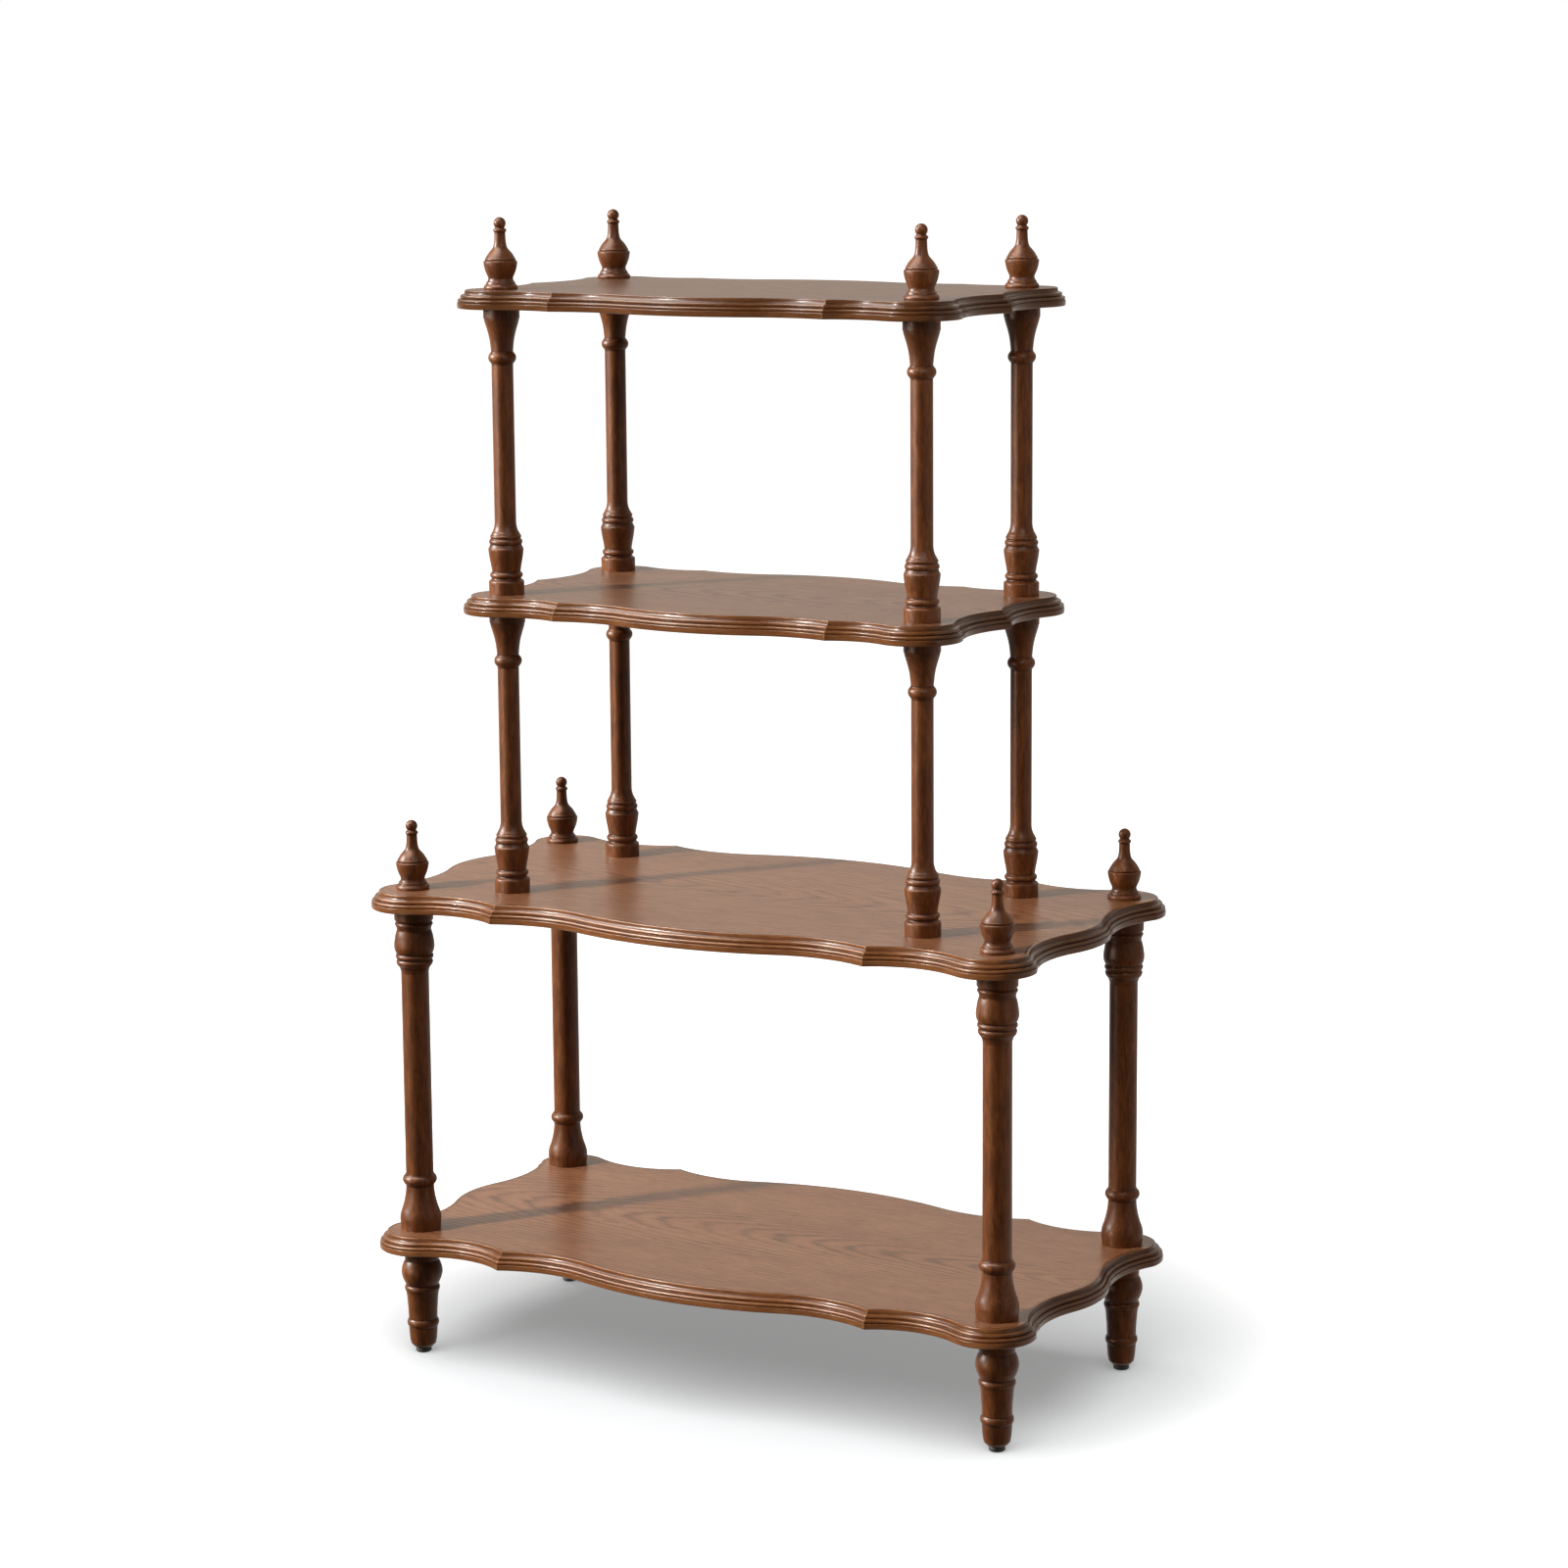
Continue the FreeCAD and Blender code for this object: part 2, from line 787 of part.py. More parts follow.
def sleeves(label, spots, level, outer, inner, length):
    """Four identical tubes."""
    pieces = []
    for (corner, across, along), (x, y) in zip(CORNERS, spots):
        rounds = []
        for name, radius in (("outside", outer), ("bore", inner)):
            rod = doc.addObject("Part::Cylinder", f"{label}_{corner}_{name}")
            rod.Radius = radius.value
            rod.Height = length.value
            rod.setExpression("Radius", radius.text)
            rod.setExpression("Height", length.text)
            put(rod, x, y, level)
            rounds.append(rod)
        tube = doc.addObject("Part::Cut", f"{label}_{corner}_tube")
        tube.Base = rounds[0]
        tube.Tool = rounds[1]
        pieces.append(tube)
    group = doc.addObject("Part::Compound", label)
    group.Links = pieces
    group.Label = label
    return group


wide_spots = four(WIDE)
narrow_spots = four(NARROW)
shelf_hole = dowel_radius + size["dowel_shelf_clearance"]
screw_radius = size["post_screw_radius"]
screw_head_radius = size["post_screw_head_radius"]
screw_head_height = size["post_screw_head_height"]
screw_recess = size["post_screw_recess_depth"]
screw_hole_fit = size["post_screw_shelf_clearance"]
wide_holes = ("post_holes", wide_spots, shelf_hole, None)
narrow_holes = ("post_holes", narrow_spots, shelf_hole, None)
screw_holes = ("screw_holes", narrow_spots, screw_radius + screw_hole_fit, None)
screw_recesses = ("screw_recesses", narrow_spots, screw_head_radius + screw_hole_fit, screw_recess)

nodes = [
    shelf("bottom_shelf", wide_outline, [wide_holes], bottom_level),
    shelf("second_shelf", wide_outline, [wide_holes, screw_holes, screw_recesses], second_level),
    shelf("third_shelf", narrow_outline, [narrow_holes], third_level),
    shelf("top_shelf", narrow_outline, [narrow_holes], top_level),
]

# Bores in the ends of the turned pieces: radius and depth of each, widest first.
end_gap = size["dowel_end_clearance"]
post_bore = [(dowel_bore, post_bite + end_gap)]
finial_bore = [(dowel_bore, finial_bite + end_gap)]
foot_top_bore = [(dowel_bore, foot_bite + end_gap)]
post_screw_bore = [
    (
        screw_radius + size["post_screw_bore_clearance"],
        size["post_screw_depth_in_post"] + end_gap,
    )
]
pad_radius = size["glide_pad_radius"]
pad_socket = size["glide_pad_socket_depth"]
stem_radius = size["glide_stem_radius"]
stem_length = size["glide_stem_length"]
stem_level = size["glide_pad_height"] - pad_socket
stem_bore = stem_radius + size["glide_stem_clearance"]
insert_radius = size["glide_insert_radius"]
insert_length = size["glide_insert_length"]
foot_sole_bore = [
    (insert_radius + size["glide_insert_clearance"], insert_length),
    (
        stem_radius + size["glide_stem_side_room"],
        stem_level + stem_length - foot_level + size["glide_stem_top_room"],
    ),
]
pad_profile = [(size["glide_pad_height"], pad_radius, None)]
stem_profile = [(stem_length, stem_radius, None)]
pad_bore = [(stem_bore, pad_socket)]

for (corner, across, along), wide_spot, narrow_spot in zip(CORNERS, wide_spots, narrow_spots):
    pieces = (
        ("foot", size["foot_sole_radius"], foot_profile, foot_sole_bore, foot_top_bore, wide_spot, foot_level),
        (
            "lower_post",
            size["lower_base_radius"],
            lower_profile,
            post_bore,
            post_bore,
            wide_spot,
            lower_post_level,
        ),
        (
            "lower_finial",
            size["finial_foot_radius"],
            finial_profile,
            finial_bore,
            None,
            wide_spot,
            middle_post_level,
        ),
        (
            "middle_post",
            size["narrow_collar_radius"],
            narrow_profile,
            post_screw_bore,
            post_bore,
            narrow_spot,
            middle_post_level,
        ),
        (
            "upper_post",
            size["narrow_collar_radius"],
            narrow_profile,
            post_bore,
            post_bore,
            narrow_spot,
            upper_post_level,
        ),
        (
            "top_finial",
            size["finial_foot_radius"],
            finial_profile,
            finial_bore,
            None,
            narrow_spot,
            top_finial_level,
        ),
        ("glide_pad", pad_radius, pad_profile, None, pad_bore, wide_spot, sized(0)),
        ("glide_stem", stem_radius, stem_profile, None, None, wide_spot, stem_level),
    )
    for name, start, profile, bottom_bore, top_bore, spot, level in pieces:
        nodes.append(turned(f"{name}_{corner}", start, profile, bottom_bore, top_bore, (*spot, level)))

nodes.append(
    rods(
        "foot_dowel_screws",
        wide_spots,
        bottom_level - foot_bite,
        [(dowel_radius, foot_bite + board + post_bite)],
    )
)
nodes.append(
    rods(
        "lower_finial_dowel_screws",
        wide_spots,
        second_level - post_bite,
        [(dowel_radius, post_bite + board + finial_bite)],
    )
)
nodes.append(
    rods(
        "middle_post_screws",
        narrow_spots,
        second_level + screw_recess - screw_head_height,
        [
            (screw_head_radius, screw_head_height),
            (screw_radius, board - screw_recess + size["post_screw_depth_in_post"]),
        ],
    )
)
nodes.append(
    rods(
        "upper_post_dowel_screws",
        narrow_spots,
        third_level - post_bite,
        [(dowel_radius, post_bite + board + post_bite)],
    )
)
nodes.append(
    rods(
        "top_finial_dowel_screws",
        narrow_spots,
        top_level - post_bite,
        [(dowel_radius, post_bite + board + finial_bite)],
    )
)
nodes.append(
    sleeves("glide_inserts", wide_spots, foot_level, insert_radius, stem_bore, insert_length)
)

doc.recompute()

for item in doc.Objects:
    if any(word in item.State for word in ("Invalid", "Error")):
        raise RuntimeError(f"{item.Label} did not build: {item.State}")
for node in nodes:
    if node.Shape.isNull() or not node.Shape.isValid():
        raise RuntimeError(f"{node.Label} has no sound shape")
for board_name in ("bottom_shelf", "second_shelf", "third_shelf", "top_shelf"):
    body = doc.getObject(board_name)
    steps = [item for item in body.Group if item.isDerivedFrom("PartDesign::Feature")]
    for before, after in zip(steps, steps[1:]):
        if not after.Shape.Volume < before.Shape.Volume:
            raise RuntimeError(f"{after.Label} takes nothing away")

os.makedirs("parts", exist_ok=True)
for node in nodes:
    node.Shape.exportStep(os.path.join("parts", f"{node.Label}.step"))
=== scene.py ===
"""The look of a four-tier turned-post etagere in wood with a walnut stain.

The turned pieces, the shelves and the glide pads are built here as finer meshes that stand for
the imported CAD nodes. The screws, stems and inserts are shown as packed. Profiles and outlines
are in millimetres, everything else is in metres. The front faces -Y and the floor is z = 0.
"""

import json
import math

import bpy
from mathutils import Matrix, Vector

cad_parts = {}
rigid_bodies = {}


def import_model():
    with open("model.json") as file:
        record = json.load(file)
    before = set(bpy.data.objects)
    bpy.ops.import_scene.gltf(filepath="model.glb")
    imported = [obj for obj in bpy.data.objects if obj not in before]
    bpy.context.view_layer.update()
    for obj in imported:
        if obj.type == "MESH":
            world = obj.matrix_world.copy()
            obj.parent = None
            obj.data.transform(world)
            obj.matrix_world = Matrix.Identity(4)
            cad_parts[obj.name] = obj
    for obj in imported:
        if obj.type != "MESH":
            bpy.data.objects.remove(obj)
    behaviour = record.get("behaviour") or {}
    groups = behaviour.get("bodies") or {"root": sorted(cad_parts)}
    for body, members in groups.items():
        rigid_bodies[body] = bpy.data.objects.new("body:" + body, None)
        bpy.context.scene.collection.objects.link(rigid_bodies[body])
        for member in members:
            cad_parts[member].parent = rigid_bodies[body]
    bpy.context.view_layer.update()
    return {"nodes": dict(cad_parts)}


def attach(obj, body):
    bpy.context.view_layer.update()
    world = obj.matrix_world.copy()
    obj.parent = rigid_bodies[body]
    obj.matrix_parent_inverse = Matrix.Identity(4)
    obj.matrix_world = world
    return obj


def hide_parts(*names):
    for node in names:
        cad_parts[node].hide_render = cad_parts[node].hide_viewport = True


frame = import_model()

MM = 0.001

# Name of each corner and its signs across and along.
CORNERS = (
    ("front_left", -1, -1),
    ("front_right", 1, -1),
    ("rear_left", -1, 1),
    ("rear_right", 1, 1),
)

# Where the posts' axes stand, across and along from the middle.
WIDE_POSTS = (350.0, 150.0)
NARROW_POSTS = (247.0, 112.5)


# ---- colours and shader nodes

def linear(red, green, blue):
    """An sRGB colour given in 0 to 255 as a linear one with alpha."""
    out = []
    for part in (red, green, blue):
        part = part / 255.0
        out.append(part / 12.92 if part <= 0.04045 else ((part + 0.055) / 1.055) ** 2.4)
    return (out[0], out[1], out[2], 1.0)


def grey(level):
    return (level, level, level, 1.0)


def nodes_of(name):
    """A new material with nothing but a Principled shader in it."""
    material = bpy.data.materials.new(name)
    material.use_nodes = True
    tree = material.node_tree
    tree.nodes.clear()
    out = tree.nodes.new("ShaderNodeOutputMaterial")
    shader = tree.nodes.new("ShaderNodeBsdfPrincipled")
    tree.links.new(shader.outputs["BSDF"], out.inputs["Surface"])
    return material, tree, shader


def scaled(tree, source, scale):
    mapping = tree.nodes.new("ShaderNodeMapping")
    mapping.inputs["Scale"].default_value = scale
    tree.links.new(source, mapping.inputs["Vector"])
    return mapping.outputs["Vector"]


def noise(tree, vector, detail, roughness, distortion=0.0):
    node = tree.nodes.new("ShaderNodeTexNoise")
    node.inputs["Scale"].default_value = 1.0
    node.inputs["Detail"].default_value = detail
    node.inputs["Roughness"].default_value = roughness
    node.inputs["Distortion"].default_value = distortion
    tree.links.new(vector, node.inputs["Vector"])
    return node.outputs["Fac"]


def math_node(tree, operation, *operands):
    """A Math node. Each operand is a number or the output of a node."""
    node = tree.nodes.new("ShaderNodeMath")
    node.operation = operation
    for index, item in enumerate(operands):
        if isinstance(item, (int, float)):
            node.inputs[index].default_value = item
        else:
            tree.links.new(item, node.inputs[index])
    return node.outputs["Value"]


def vector_node(tree, operation, *operands):
    """A Vector Math node. Each operand is a tuple or the output of a node."""
    node = tree.nodes.new("ShaderNodeVectorMath")
    node.operation = operation
    for index, item in enumerate(operands):
        if isinstance(item, tuple):
            node.inputs[index].default_value = item
        else:
            tree.links.new(item, node.inputs[index])
    return node


def smooth_range(tree, source, start, end, low=0.0, high=1.0):
    """A value that eases from low to high while the source goes from start to end."""
    node = tree.nodes.new("ShaderNodeMapRange")
    node.interpolation_type = "SMOOTHSTEP"
    node.inputs["From Min"].default_value = start
    node.inputs["From Max"].default_value = end
    node.inputs["To Min"].default_value = low
    node.inputs["To Max"].default_value = high
    tree.links.new(source, node.inputs["Value"])
    return node.outputs["Result"]


def ramp(tree, source, stops):
    node = tree.nodes.new("ShaderNodeValToRGB")
    elements = node.color_ramp.elements
    while len(elements) > 1:
        elements.remove(elements[-1])
    elements[0].position = stops[0][0]
    elements[0].color = stops[0][1]
    for place, colour in stops[1:]:
        element = elements.new(place)
        element.color = colour
    tree.links.new(source, node.inputs["Fac"])
    return node.outputs["Color"]


def blend(tree, kind, factor, first, second):
    node = tree.nodes.new("ShaderNodeMix")
    node.data_type = "RGBA"
    node.blend_type = kind
    node.clamp_factor = True
    for socket, item in (("Factor_Float", factor), ("A_Color", first), ("B_Color", second)):
        target = next(entry for entry in node.inputs if entry.identifier == socket)
        if isinstance(item, (int, float, tuple)):
            target.default_value = item
        else:
            tree.links.new(item, target)
    return next(entry for entry in node.outputs if entry.identifier == "Result_Color")


def attribute(tree, name):
    """A number stored on the points of the mesh, or 0 where a mesh has none."""
    node = tree.nodes.new("ShaderNodeAttribute")
    node.attribute_name = name
    return node.outputs["Fac"]


def bump(tree, shader, height, strength, distance):
    node = tree.nodes.new("ShaderNodeBump")
    node.inputs["Strength"].default_value = strength
    node.inputs["Distance"].default_value = distance
    tree.links.new(height, node.inputs["Height"])
    tree.links.new(node.outputs["Normal"], shader.inputs["Normal"])


# ---- materials

# The figures of the wood: how fast each changes, per metre across the grain and along it, and
# the detail, roughness and distortion of its noise.
BROAD = (14.0, 2.0, 2.0, 0.5, 0.0)
WAVE = (110.0, 28.0, 3.0, 0.55, 0.7)
STREAK = (340.0, 42.0, 4.0, 0.6, 0.6)
FINE = (1100.0, 70.0, 3.0, 0.6, 0.0)
PORE = (1500.0, 130.0, 2.0, 0.5, 0.0)

# What each adds to the tone beside the streaks. Streaks and waves are calmer under rings.
BROAD_SHARE = 0.35
WAVE_SHARE = 1.1
FINE_SHARE = 1.0
CALM = 0.45

# Pieces differ in figure, because their places times this are added to it.
PIECE_SHIFT = (3.7, 5.3, 2.9)

# How dark the pores are, from the middle of one to its rim.
PORE_STOPS = [(0.31, grey(0.72)), (0.40, grey(1.0))]
PORE_SHARE = 0.85

# Growth rings of the boards: long ovals about a heart that lies at another place on each shelf.
LOWEST_BOARD = 0.121
HEART_TURN = 9.1
HEART_REACH = 0.5
OVAL = (1.0, 7.5, 0.0)
WARP_PACE = (5.0, 12.0, 1.0)
RING_WARP = 14.0
RING_WAVE = 5.0
RING_SHARPNESS = 3.0
FADE_PACE = (14.0, 60.0, 1.0)
RING_DEPTH = 0.36
RING_LIFT = 0.12

RUBBED_WOOD = linear(206, 160, 118)
# Painted shade: the wood is darkened in grooves, the more the deeper they lie.
GROOVE_SHADE = linear(150, 128, 112)
GROOVE_SHADE_SHARE = 0.75


def growth_rings(tree, place, moved, location, wave, rate):
    """Thin uneven rings, from 0 between them to about 1 on them, at a rate in radians a metre."""
    split = tree.nodes.new("ShaderNodeSeparateXYZ")
    tree.links.new(location, split.inputs["Vector"])
    level = math_node(tree, "SUBTRACT", split.outputs["Z"], LOWEST_BOARD)
    swing = math_node(tree, "COSINE", math_node(tree, "MULTIPLY", level, HEART_TURN))
    heart = tree.nodes.new("ShaderNodeCombineXYZ")
    tree.links.new(math_node(tree, "MULTIPLY", swing, HEART_REACH), heart.inputs["X"])
    flat = vector_node(tree, "SUBTRACT", place, heart.outputs["Vector"]).outputs["Vector"]
    reach = vector_node(tree, "LENGTH", scaled(tree, flat, OVAL)).outputs["Value"]
    warp = noise(tree, scaled(tree, moved, WARP_PACE), 2.0, 0.5)
    turns = math_node(tree, "MULTIPLY", reach, rate)
    turns = math_node(tree, "ADD", turns, math_node(tree, "MULTIPLY", warp, RING_WARP))
    turns = math_node(tree, "ADD", turns, math_node(tree, "MULTIPLY", wave, RING_WAVE))
    rings = math_node(tree, "MULTIPLY_ADD", math_node(tree, "SINE", turns), 0.5, 0.5)
    rings = math_node(tree, "POWER", rings, RING_SHARPNESS)
    faded = noise(tree, scaled(tree, moved, FADE_PACE), 2.0, 0.5)
    return math_node(tree, "MULTIPLY", rings, math_node(tree, "MULTIPLY", faded, 2.0))


def wood(name, along, tones, rough_level, specular, contrast, ring_rate=0.0, laid=False):
    """Wood in a walnut stain with its grain along an axis: waves, streaks, rings, pores and wear,
    and painted shade that darkens it in its grooves.

    Its place is the piece's own, or where laid is set the UV map, which unrolls a moulding.
    """
    material, tree, shader = nodes_of(name)
    place = tree.nodes.new("ShaderNodeTexCoord").outputs["UV" if laid else "Object"]
    location = tree.nodes.new("ShaderNodeObjectInfo").outputs["Location"]
    moved = vector_node(tree, "MULTIPLY_ADD", location, PIECE_SHIFT, place).outputs["Vector"]

    def figure(across, length, detail, roughness, distortion):
        scale = tuple(length if axis == along else across for axis in "xyz")
        return noise(tree, scaled(tree, moved, scale), detail, roughness, distortion)

    def centred(source, share):
        offset = math_node(tree, "SUBTRACT", source, 0.5)
        return math_node(tree, "MULTIPLY", offset, share * contrast)

    broad = figure(*BROAD)
    wave = figure(*WAVE)
    streak = figure(*STREAK)
    fine = figure(*FINE)
    pore = figure(*PORE)

    calm = CALM if ring_rate else 1.0
    tone = centred(streak, calm)
    for part, share in ((broad, BROAD_SHARE), (wave, WAVE_SHARE * calm), (fine, FINE_SHARE)):
        tone = math_node(tree, "ADD", tone, centred(part, share))
    if ring_rate:
        rings = growth_rings(tree, place, moved, location, wave, ring_rate)
        darker = math_node(tree, "MULTIPLY", rings, -RING_DEPTH * contrast)
        tone = math_node(tree, "ADD", tone, darker)
        tone = math_node(tree, "ADD", tone, RING_LIFT * contrast)
    tone = math_node(tree, "ADD", tone, 0.5)
    dark, middle, light = tones
    colour = ramp(tree, tone, [(0.2, dark), (0.5, middle), (0.8, light)])
    colour = blend(tree, "MULTIPLY", PORE_SHARE, colour, ramp(tree, pore, PORE_STOPS))
    patchy = math_node(tree, "ADD", fine, 0.2)
    rubbed = math_node(tree, "MULTIPLY", attribute(tree, "wear"), patchy)
    colour = blend(tree, "MIX", rubbed, colour, RUBBED_WOOD)
    # Painted shade: darker wood in grooves, by the depth stored on the points.
    groove_shade = math_node(tree, "MULTIPLY", attribute(tree, "hollow"), GROOVE_SHADE_SHARE)
    colour = blend(tree, "MULTIPLY", groove_shade, colour, GROOVE_SHADE)
    tree.links.new(colour, shader.inputs["Base Color"])

    dull, bright = grey(rough_level + 0.05), grey(rough_level - 0.04)
    tree.links.new(ramp(tree, streak, [(0.2, dull), (0.8, bright)]), shader.inputs["Roughness"])
    shader.inputs["Specular IOR Level"].default_value = specular
    half_fine = math_node(tree, "MULTIPLY", fine, 0.5)
    half_pore = math_node(tree, "MULTIPLY", pore, 0.5)
    bump(tree, shader, math_node(tree, "ADD", half_fine, half_pore), 0.10, 0.0006)
    return material


def plain(name, colour, metallic, rough, grain):
    """Metal or moulded plastic with a fine grain in its colour and roughness."""
    material, tree, shader = nodes_of(name)
    place = tree.nodes.new("ShaderNodeTexCoord").outputs["Object"]
    speck = noise(tree, scaled(tree, place, (grain, grain, grain)), 4.0, 0.6)
    darker = tuple(part * 0.72 for part in colour[:3]) + (1.0,)
    tree.links.new(ramp(tree, speck, [(0.3, darker), (0.7, colour)]), shader.inputs["Base Color"])
    worn = ramp(tree, speck, [(0.3, grey(rough - 0.06)), (0.7, grey(rough + 0.08))])
    tree.links.new(worn, shader.inputs["Roughness"])
    shader.inputs["Metallic"].default_value = metallic
    bump(tree, shader, speck, 0.15, 0.0002)
    return material


TURNED = wood(
    "turned_walnut",
    along="z",
    tones=(linear(51, 24, 8), linear(80, 43, 17), linear(107, 63, 31)),
    rough_level=0.36,
    specular=0.18,
    contrast=0.6,
)
BOARD = wood(
    "board_walnut",
    along="x",
    tones=(linear(91, 52, 29), linear(132, 84, 54), linear(161, 114, 80)),
    rough_level=0.31,
    specular=0.5,
    contrast=0.75,
    ring_rate=140.0,
)
EDGE = wood(
    "moulding_walnut",
    along="x",
    tones=(linear(84, 49, 25), linear(119, 74, 42), linear(145, 97, 61)),
    rough_level=0.22,
    specular=0.26,
    contrast=0.45,
    laid=True,
)
STEEL = plain("zinc_steel", linear(168, 168, 172), 1.0, 0.34, 900.0)
BRASS = plain("insert_brass", linear(190, 156, 92), 1.0, 0.32, 900.0)
PLASTIC = plain("glide_black", linear(26, 25, 25), 0.0, 0.5, 1400.0)


# ---- profiles

def smooth_run(points, step=0.7, fewest=2, most=9):
    """Points about a step apart on a smooth curve through (height, radius) points."""
    padded = [points[0]] + list(points) + [points[-1]]
    out = [points[0]]
    for index in range(1, len(padded) - 2):
        p0, p1, p2, p3 = padded[index - 1:index + 3]
        count = max(fewest, min(most, int(math.dist(p1, p2) / step)))
        for part in range(1, count + 1):
            t = part / count
            weights = (
                (-t + 2 * t * t - t ** 3) / 2,
                (2 - 5 * t * t + 3 * t ** 3) / 2,
                (t + 4 * t * t - 3 * t ** 3) / 2,
                (t ** 3 - t * t) / 2,
            )
            out.append(tuple(
                sum(weight * point[axis] for weight, point in zip(weights, (p0, p1, p2, p3)))
                for axis in (0, 1)
            ))
    return out


def bead(low, high, low_radius, high_radius, swell, steps=10):
    """Points of a round bead between two heights."""
    chord = math.hypot(high - low, high_radius - low_radius)
    radius = chord * chord / (8 * swell) + swell / 2
    half = math.asin(min(1.0, chord / (2 * radius)))
    if swell > radius:
        half = math.pi - half
    slope = math.atan2(high_radius - low_radius, high - low)
    out = []
    for part in range(steps + 1):
        angle = -half + 2 * half * part / steps
        along = radius * math.sin(angle) + chord / 2
        out_by = radius * math.cos(angle) - radius * math.cos(half)
        out.append((
            low + along * math.cos(slope) - out_by * math.sin(slope),
            low_radius + along * math.sin(slope) + out_by * math.cos(slope),
        ))
    return out


def soften(points, reach, sharp=math.radians(20), share=0.42):
    """Round every sharp corner of a profile a little, by no more than a share of its sides."""
    out = [points[0]]
    for before, here, after in zip(points, points[1:], points[2:]):
        back = (before[0] - here[0], before[1] - here[1])
        ahead = (after[0] - here[0], after[1] - here[1])
        back_length = math.hypot(*back)
        ahead_length = math.hypot(*ahead)
        if back_length < 1e-6 or ahead_length < 1e-6:
            continue
        straight = -(back[0] * ahead[0] + back[1] * ahead[1]) / (back_length * ahead_length)
        if math.acos(max(-1.0, min(1.0, straight))) < sharp:
            out.append(here)
            continue
        cut = min(reach, share * back_length, share * ahead_length)
        start = [here[axis] + back[axis] / back_length * cut for axis in (0, 1)]
        end = [here[axis] + ahead[axis] / ahead_length * cut for axis in (0, 1)]
        for t in (0.0, 0.33, 0.67, 1.0):
            out.append(tuple(
                (1 - t) ** 2 * start[axis] + 2 * t * (1 - t) * here[axis] + t * t * end[axis]
                for axis in (0, 1)
            ))
    out.append(points[-1])
    return out


def profile_of(runs, reach=0.4, least=0.02):
    """One softened profile from runs of points, without points that lie on each other."""
    points = []
    for run in runs:
        for point in run:
            if not points or math.dist(point, points[-1]) > least:
                points.append(point)
    return soften(points, reach)


def hollows(profile, reach=1.6, deep=0.45):
    """How far each point of a (height, radius) profile lies in a groove, from 0 to 1.

    The wood is painted darker there, as painted shade. The ends of the profile count as 0.
    """
    far = [0.0]
    for low, high in zip(profile, profile[1:]):
        far.append(far[-1] + math.dist(low, high))

    def radius_at(place):
        place = min(max(place, 0.0), far[-1])
        index = next(number for number in range(len(far) - 1) if place <= far[number + 1])
        share = (place - far[index]) / (far[index + 1] - far[index])
        return profile[index][1] + (profile[index + 1][1] - profile[index][1]) * share

    out = [0.0]
    for here, (_, radius) in list(zip(far, profile))[1:-1]:
        rise = (radius_at(here - reach) + radius_at(here + reach)) / 2 - radius
        out.append(min(1.0, max(0.0, rise / deep)))
    return out + [0.0]


def with_ends(profile, reach=2.0):
    """The profile with a point near both ends of a long straight,
    so that the painted shade of a groove stays narrow.
    """
    out = [profile[0]]
    for low, high in zip(profile, profile[1:]):
        length = math.dist(low, high)
        if length > 4 * reach:
            for share in (reach / length, 1.0 - reach / length):
                out.append(tuple(low[axis] + (high[axis] - low[axis]) * share for axis in (0, 1)))
        out.append(high)
    return out


# ---- turned pieces

def mesh_piece(name, vertices, faces, material, place, crease=40.0, **marks):
    """A smooth mesh, sharp where it bends by more than the crease, with marks on its points."""
    mesh = bpy.data.meshes.new(name)
    mesh.from_pydata(vertices, [], faces)
    mesh.polygons.foreach_set("use_smooth", [True] * len(mesh.polygons))
    mesh.set_sharp_from_angle(angle=math.radians(crease))
    for mark, values in marks.items():
        layer = mesh.attributes.new(mark, "FLOAT", "POINT")
        layer.data.foreach_set("value", values)
    mesh.update()
    piece = bpy.data.objects.new(name, mesh)
    bpy.context.scene.collection.objects.link(piece)
    piece.location = place
    piece.data.materials.append(material)
    return piece


# A row with a smaller radius is a single point.
POINTED = 1e-4


def lathe(name, profile, material, place, around=72):
    """A closed turned piece about its own vertical axis."""
    vertices = []
    faces = []
    rows = []
    # How deep each row lies in a groove, for the painted shade of the wood.
    hollow = []
    profile = with_ends(profile)
    for (height, radius), depth in zip(profile, hollows(profile)):
        if radius < POINTED:
            rows.append([len(vertices)])
            vertices.append((0.0, 0.0, height * MM))
            hollow.append(depth)
            continue
        hollow += [depth] * around
        rows.append(list(range(len(vertices), len(vertices) + around)))
        for step in range(around):
            angle = 2 * math.pi * step / around
            across = radius * MM * math.cos(angle)
            along = radius * MM * math.sin(angle)
            vertices.append((across, along, height * MM))
    for low, high in zip(rows, rows[1:]):
        for step in range(around):
            after = (step + 1) % around
            if len(high) == 1:
                faces.append((low[step], low[after], high[0]))
            elif len(low) == 1:
                faces.append((low[0], high[after], high[step]))
            else:
                faces.append((low[step], low[after], high[after], high[step]))
    if len(rows[0]) > 1:
        faces.append(tuple(reversed(rows[0])))
    if len(rows[-1]) > 1:
        faces.append(tuple(rows[-1]))
    return mesh_piece(name, vertices, faces, material, place, hollow=hollow)


# Profiles of the turned pieces, from their own lower end: (height, radius).
FOOT = profile_of([
    [(0.0, 10.2), (3.6, 13.6)],
    smooth_run([(3.6, 13.6), (8.0, 14.5), (14.0, 15.1), (21.6, 15.6)]),
    [(22.6, 15.6)],
    bead(22.8, 31.8, 15.5, 15.6, 1.8),
    smooth_run([(32.6, 15.6), (42.0, 15.9), (50.0, 16.5), (57.0, 17.0), (62.4, 17.9)]),
    [(63.0, 18.1)],
    bead(63.3, 69.8, 18.1, 17.9, 1.2),
    [(71.5, 17.8)],
    smooth_run([
        (72.0, 18.3), (74.7, 19.6), (78.7, 21.2), (84.7, 22.4), (90.5, 21.6), (95.0, 20.0),
        (97.6, 18.6),
    ]),
    [(98.4, 18.3)],
    smooth_run([(99.0, 18.4), (104.0, 18.8), (110.0, 19.4), (114.7, 20.2)]),
])
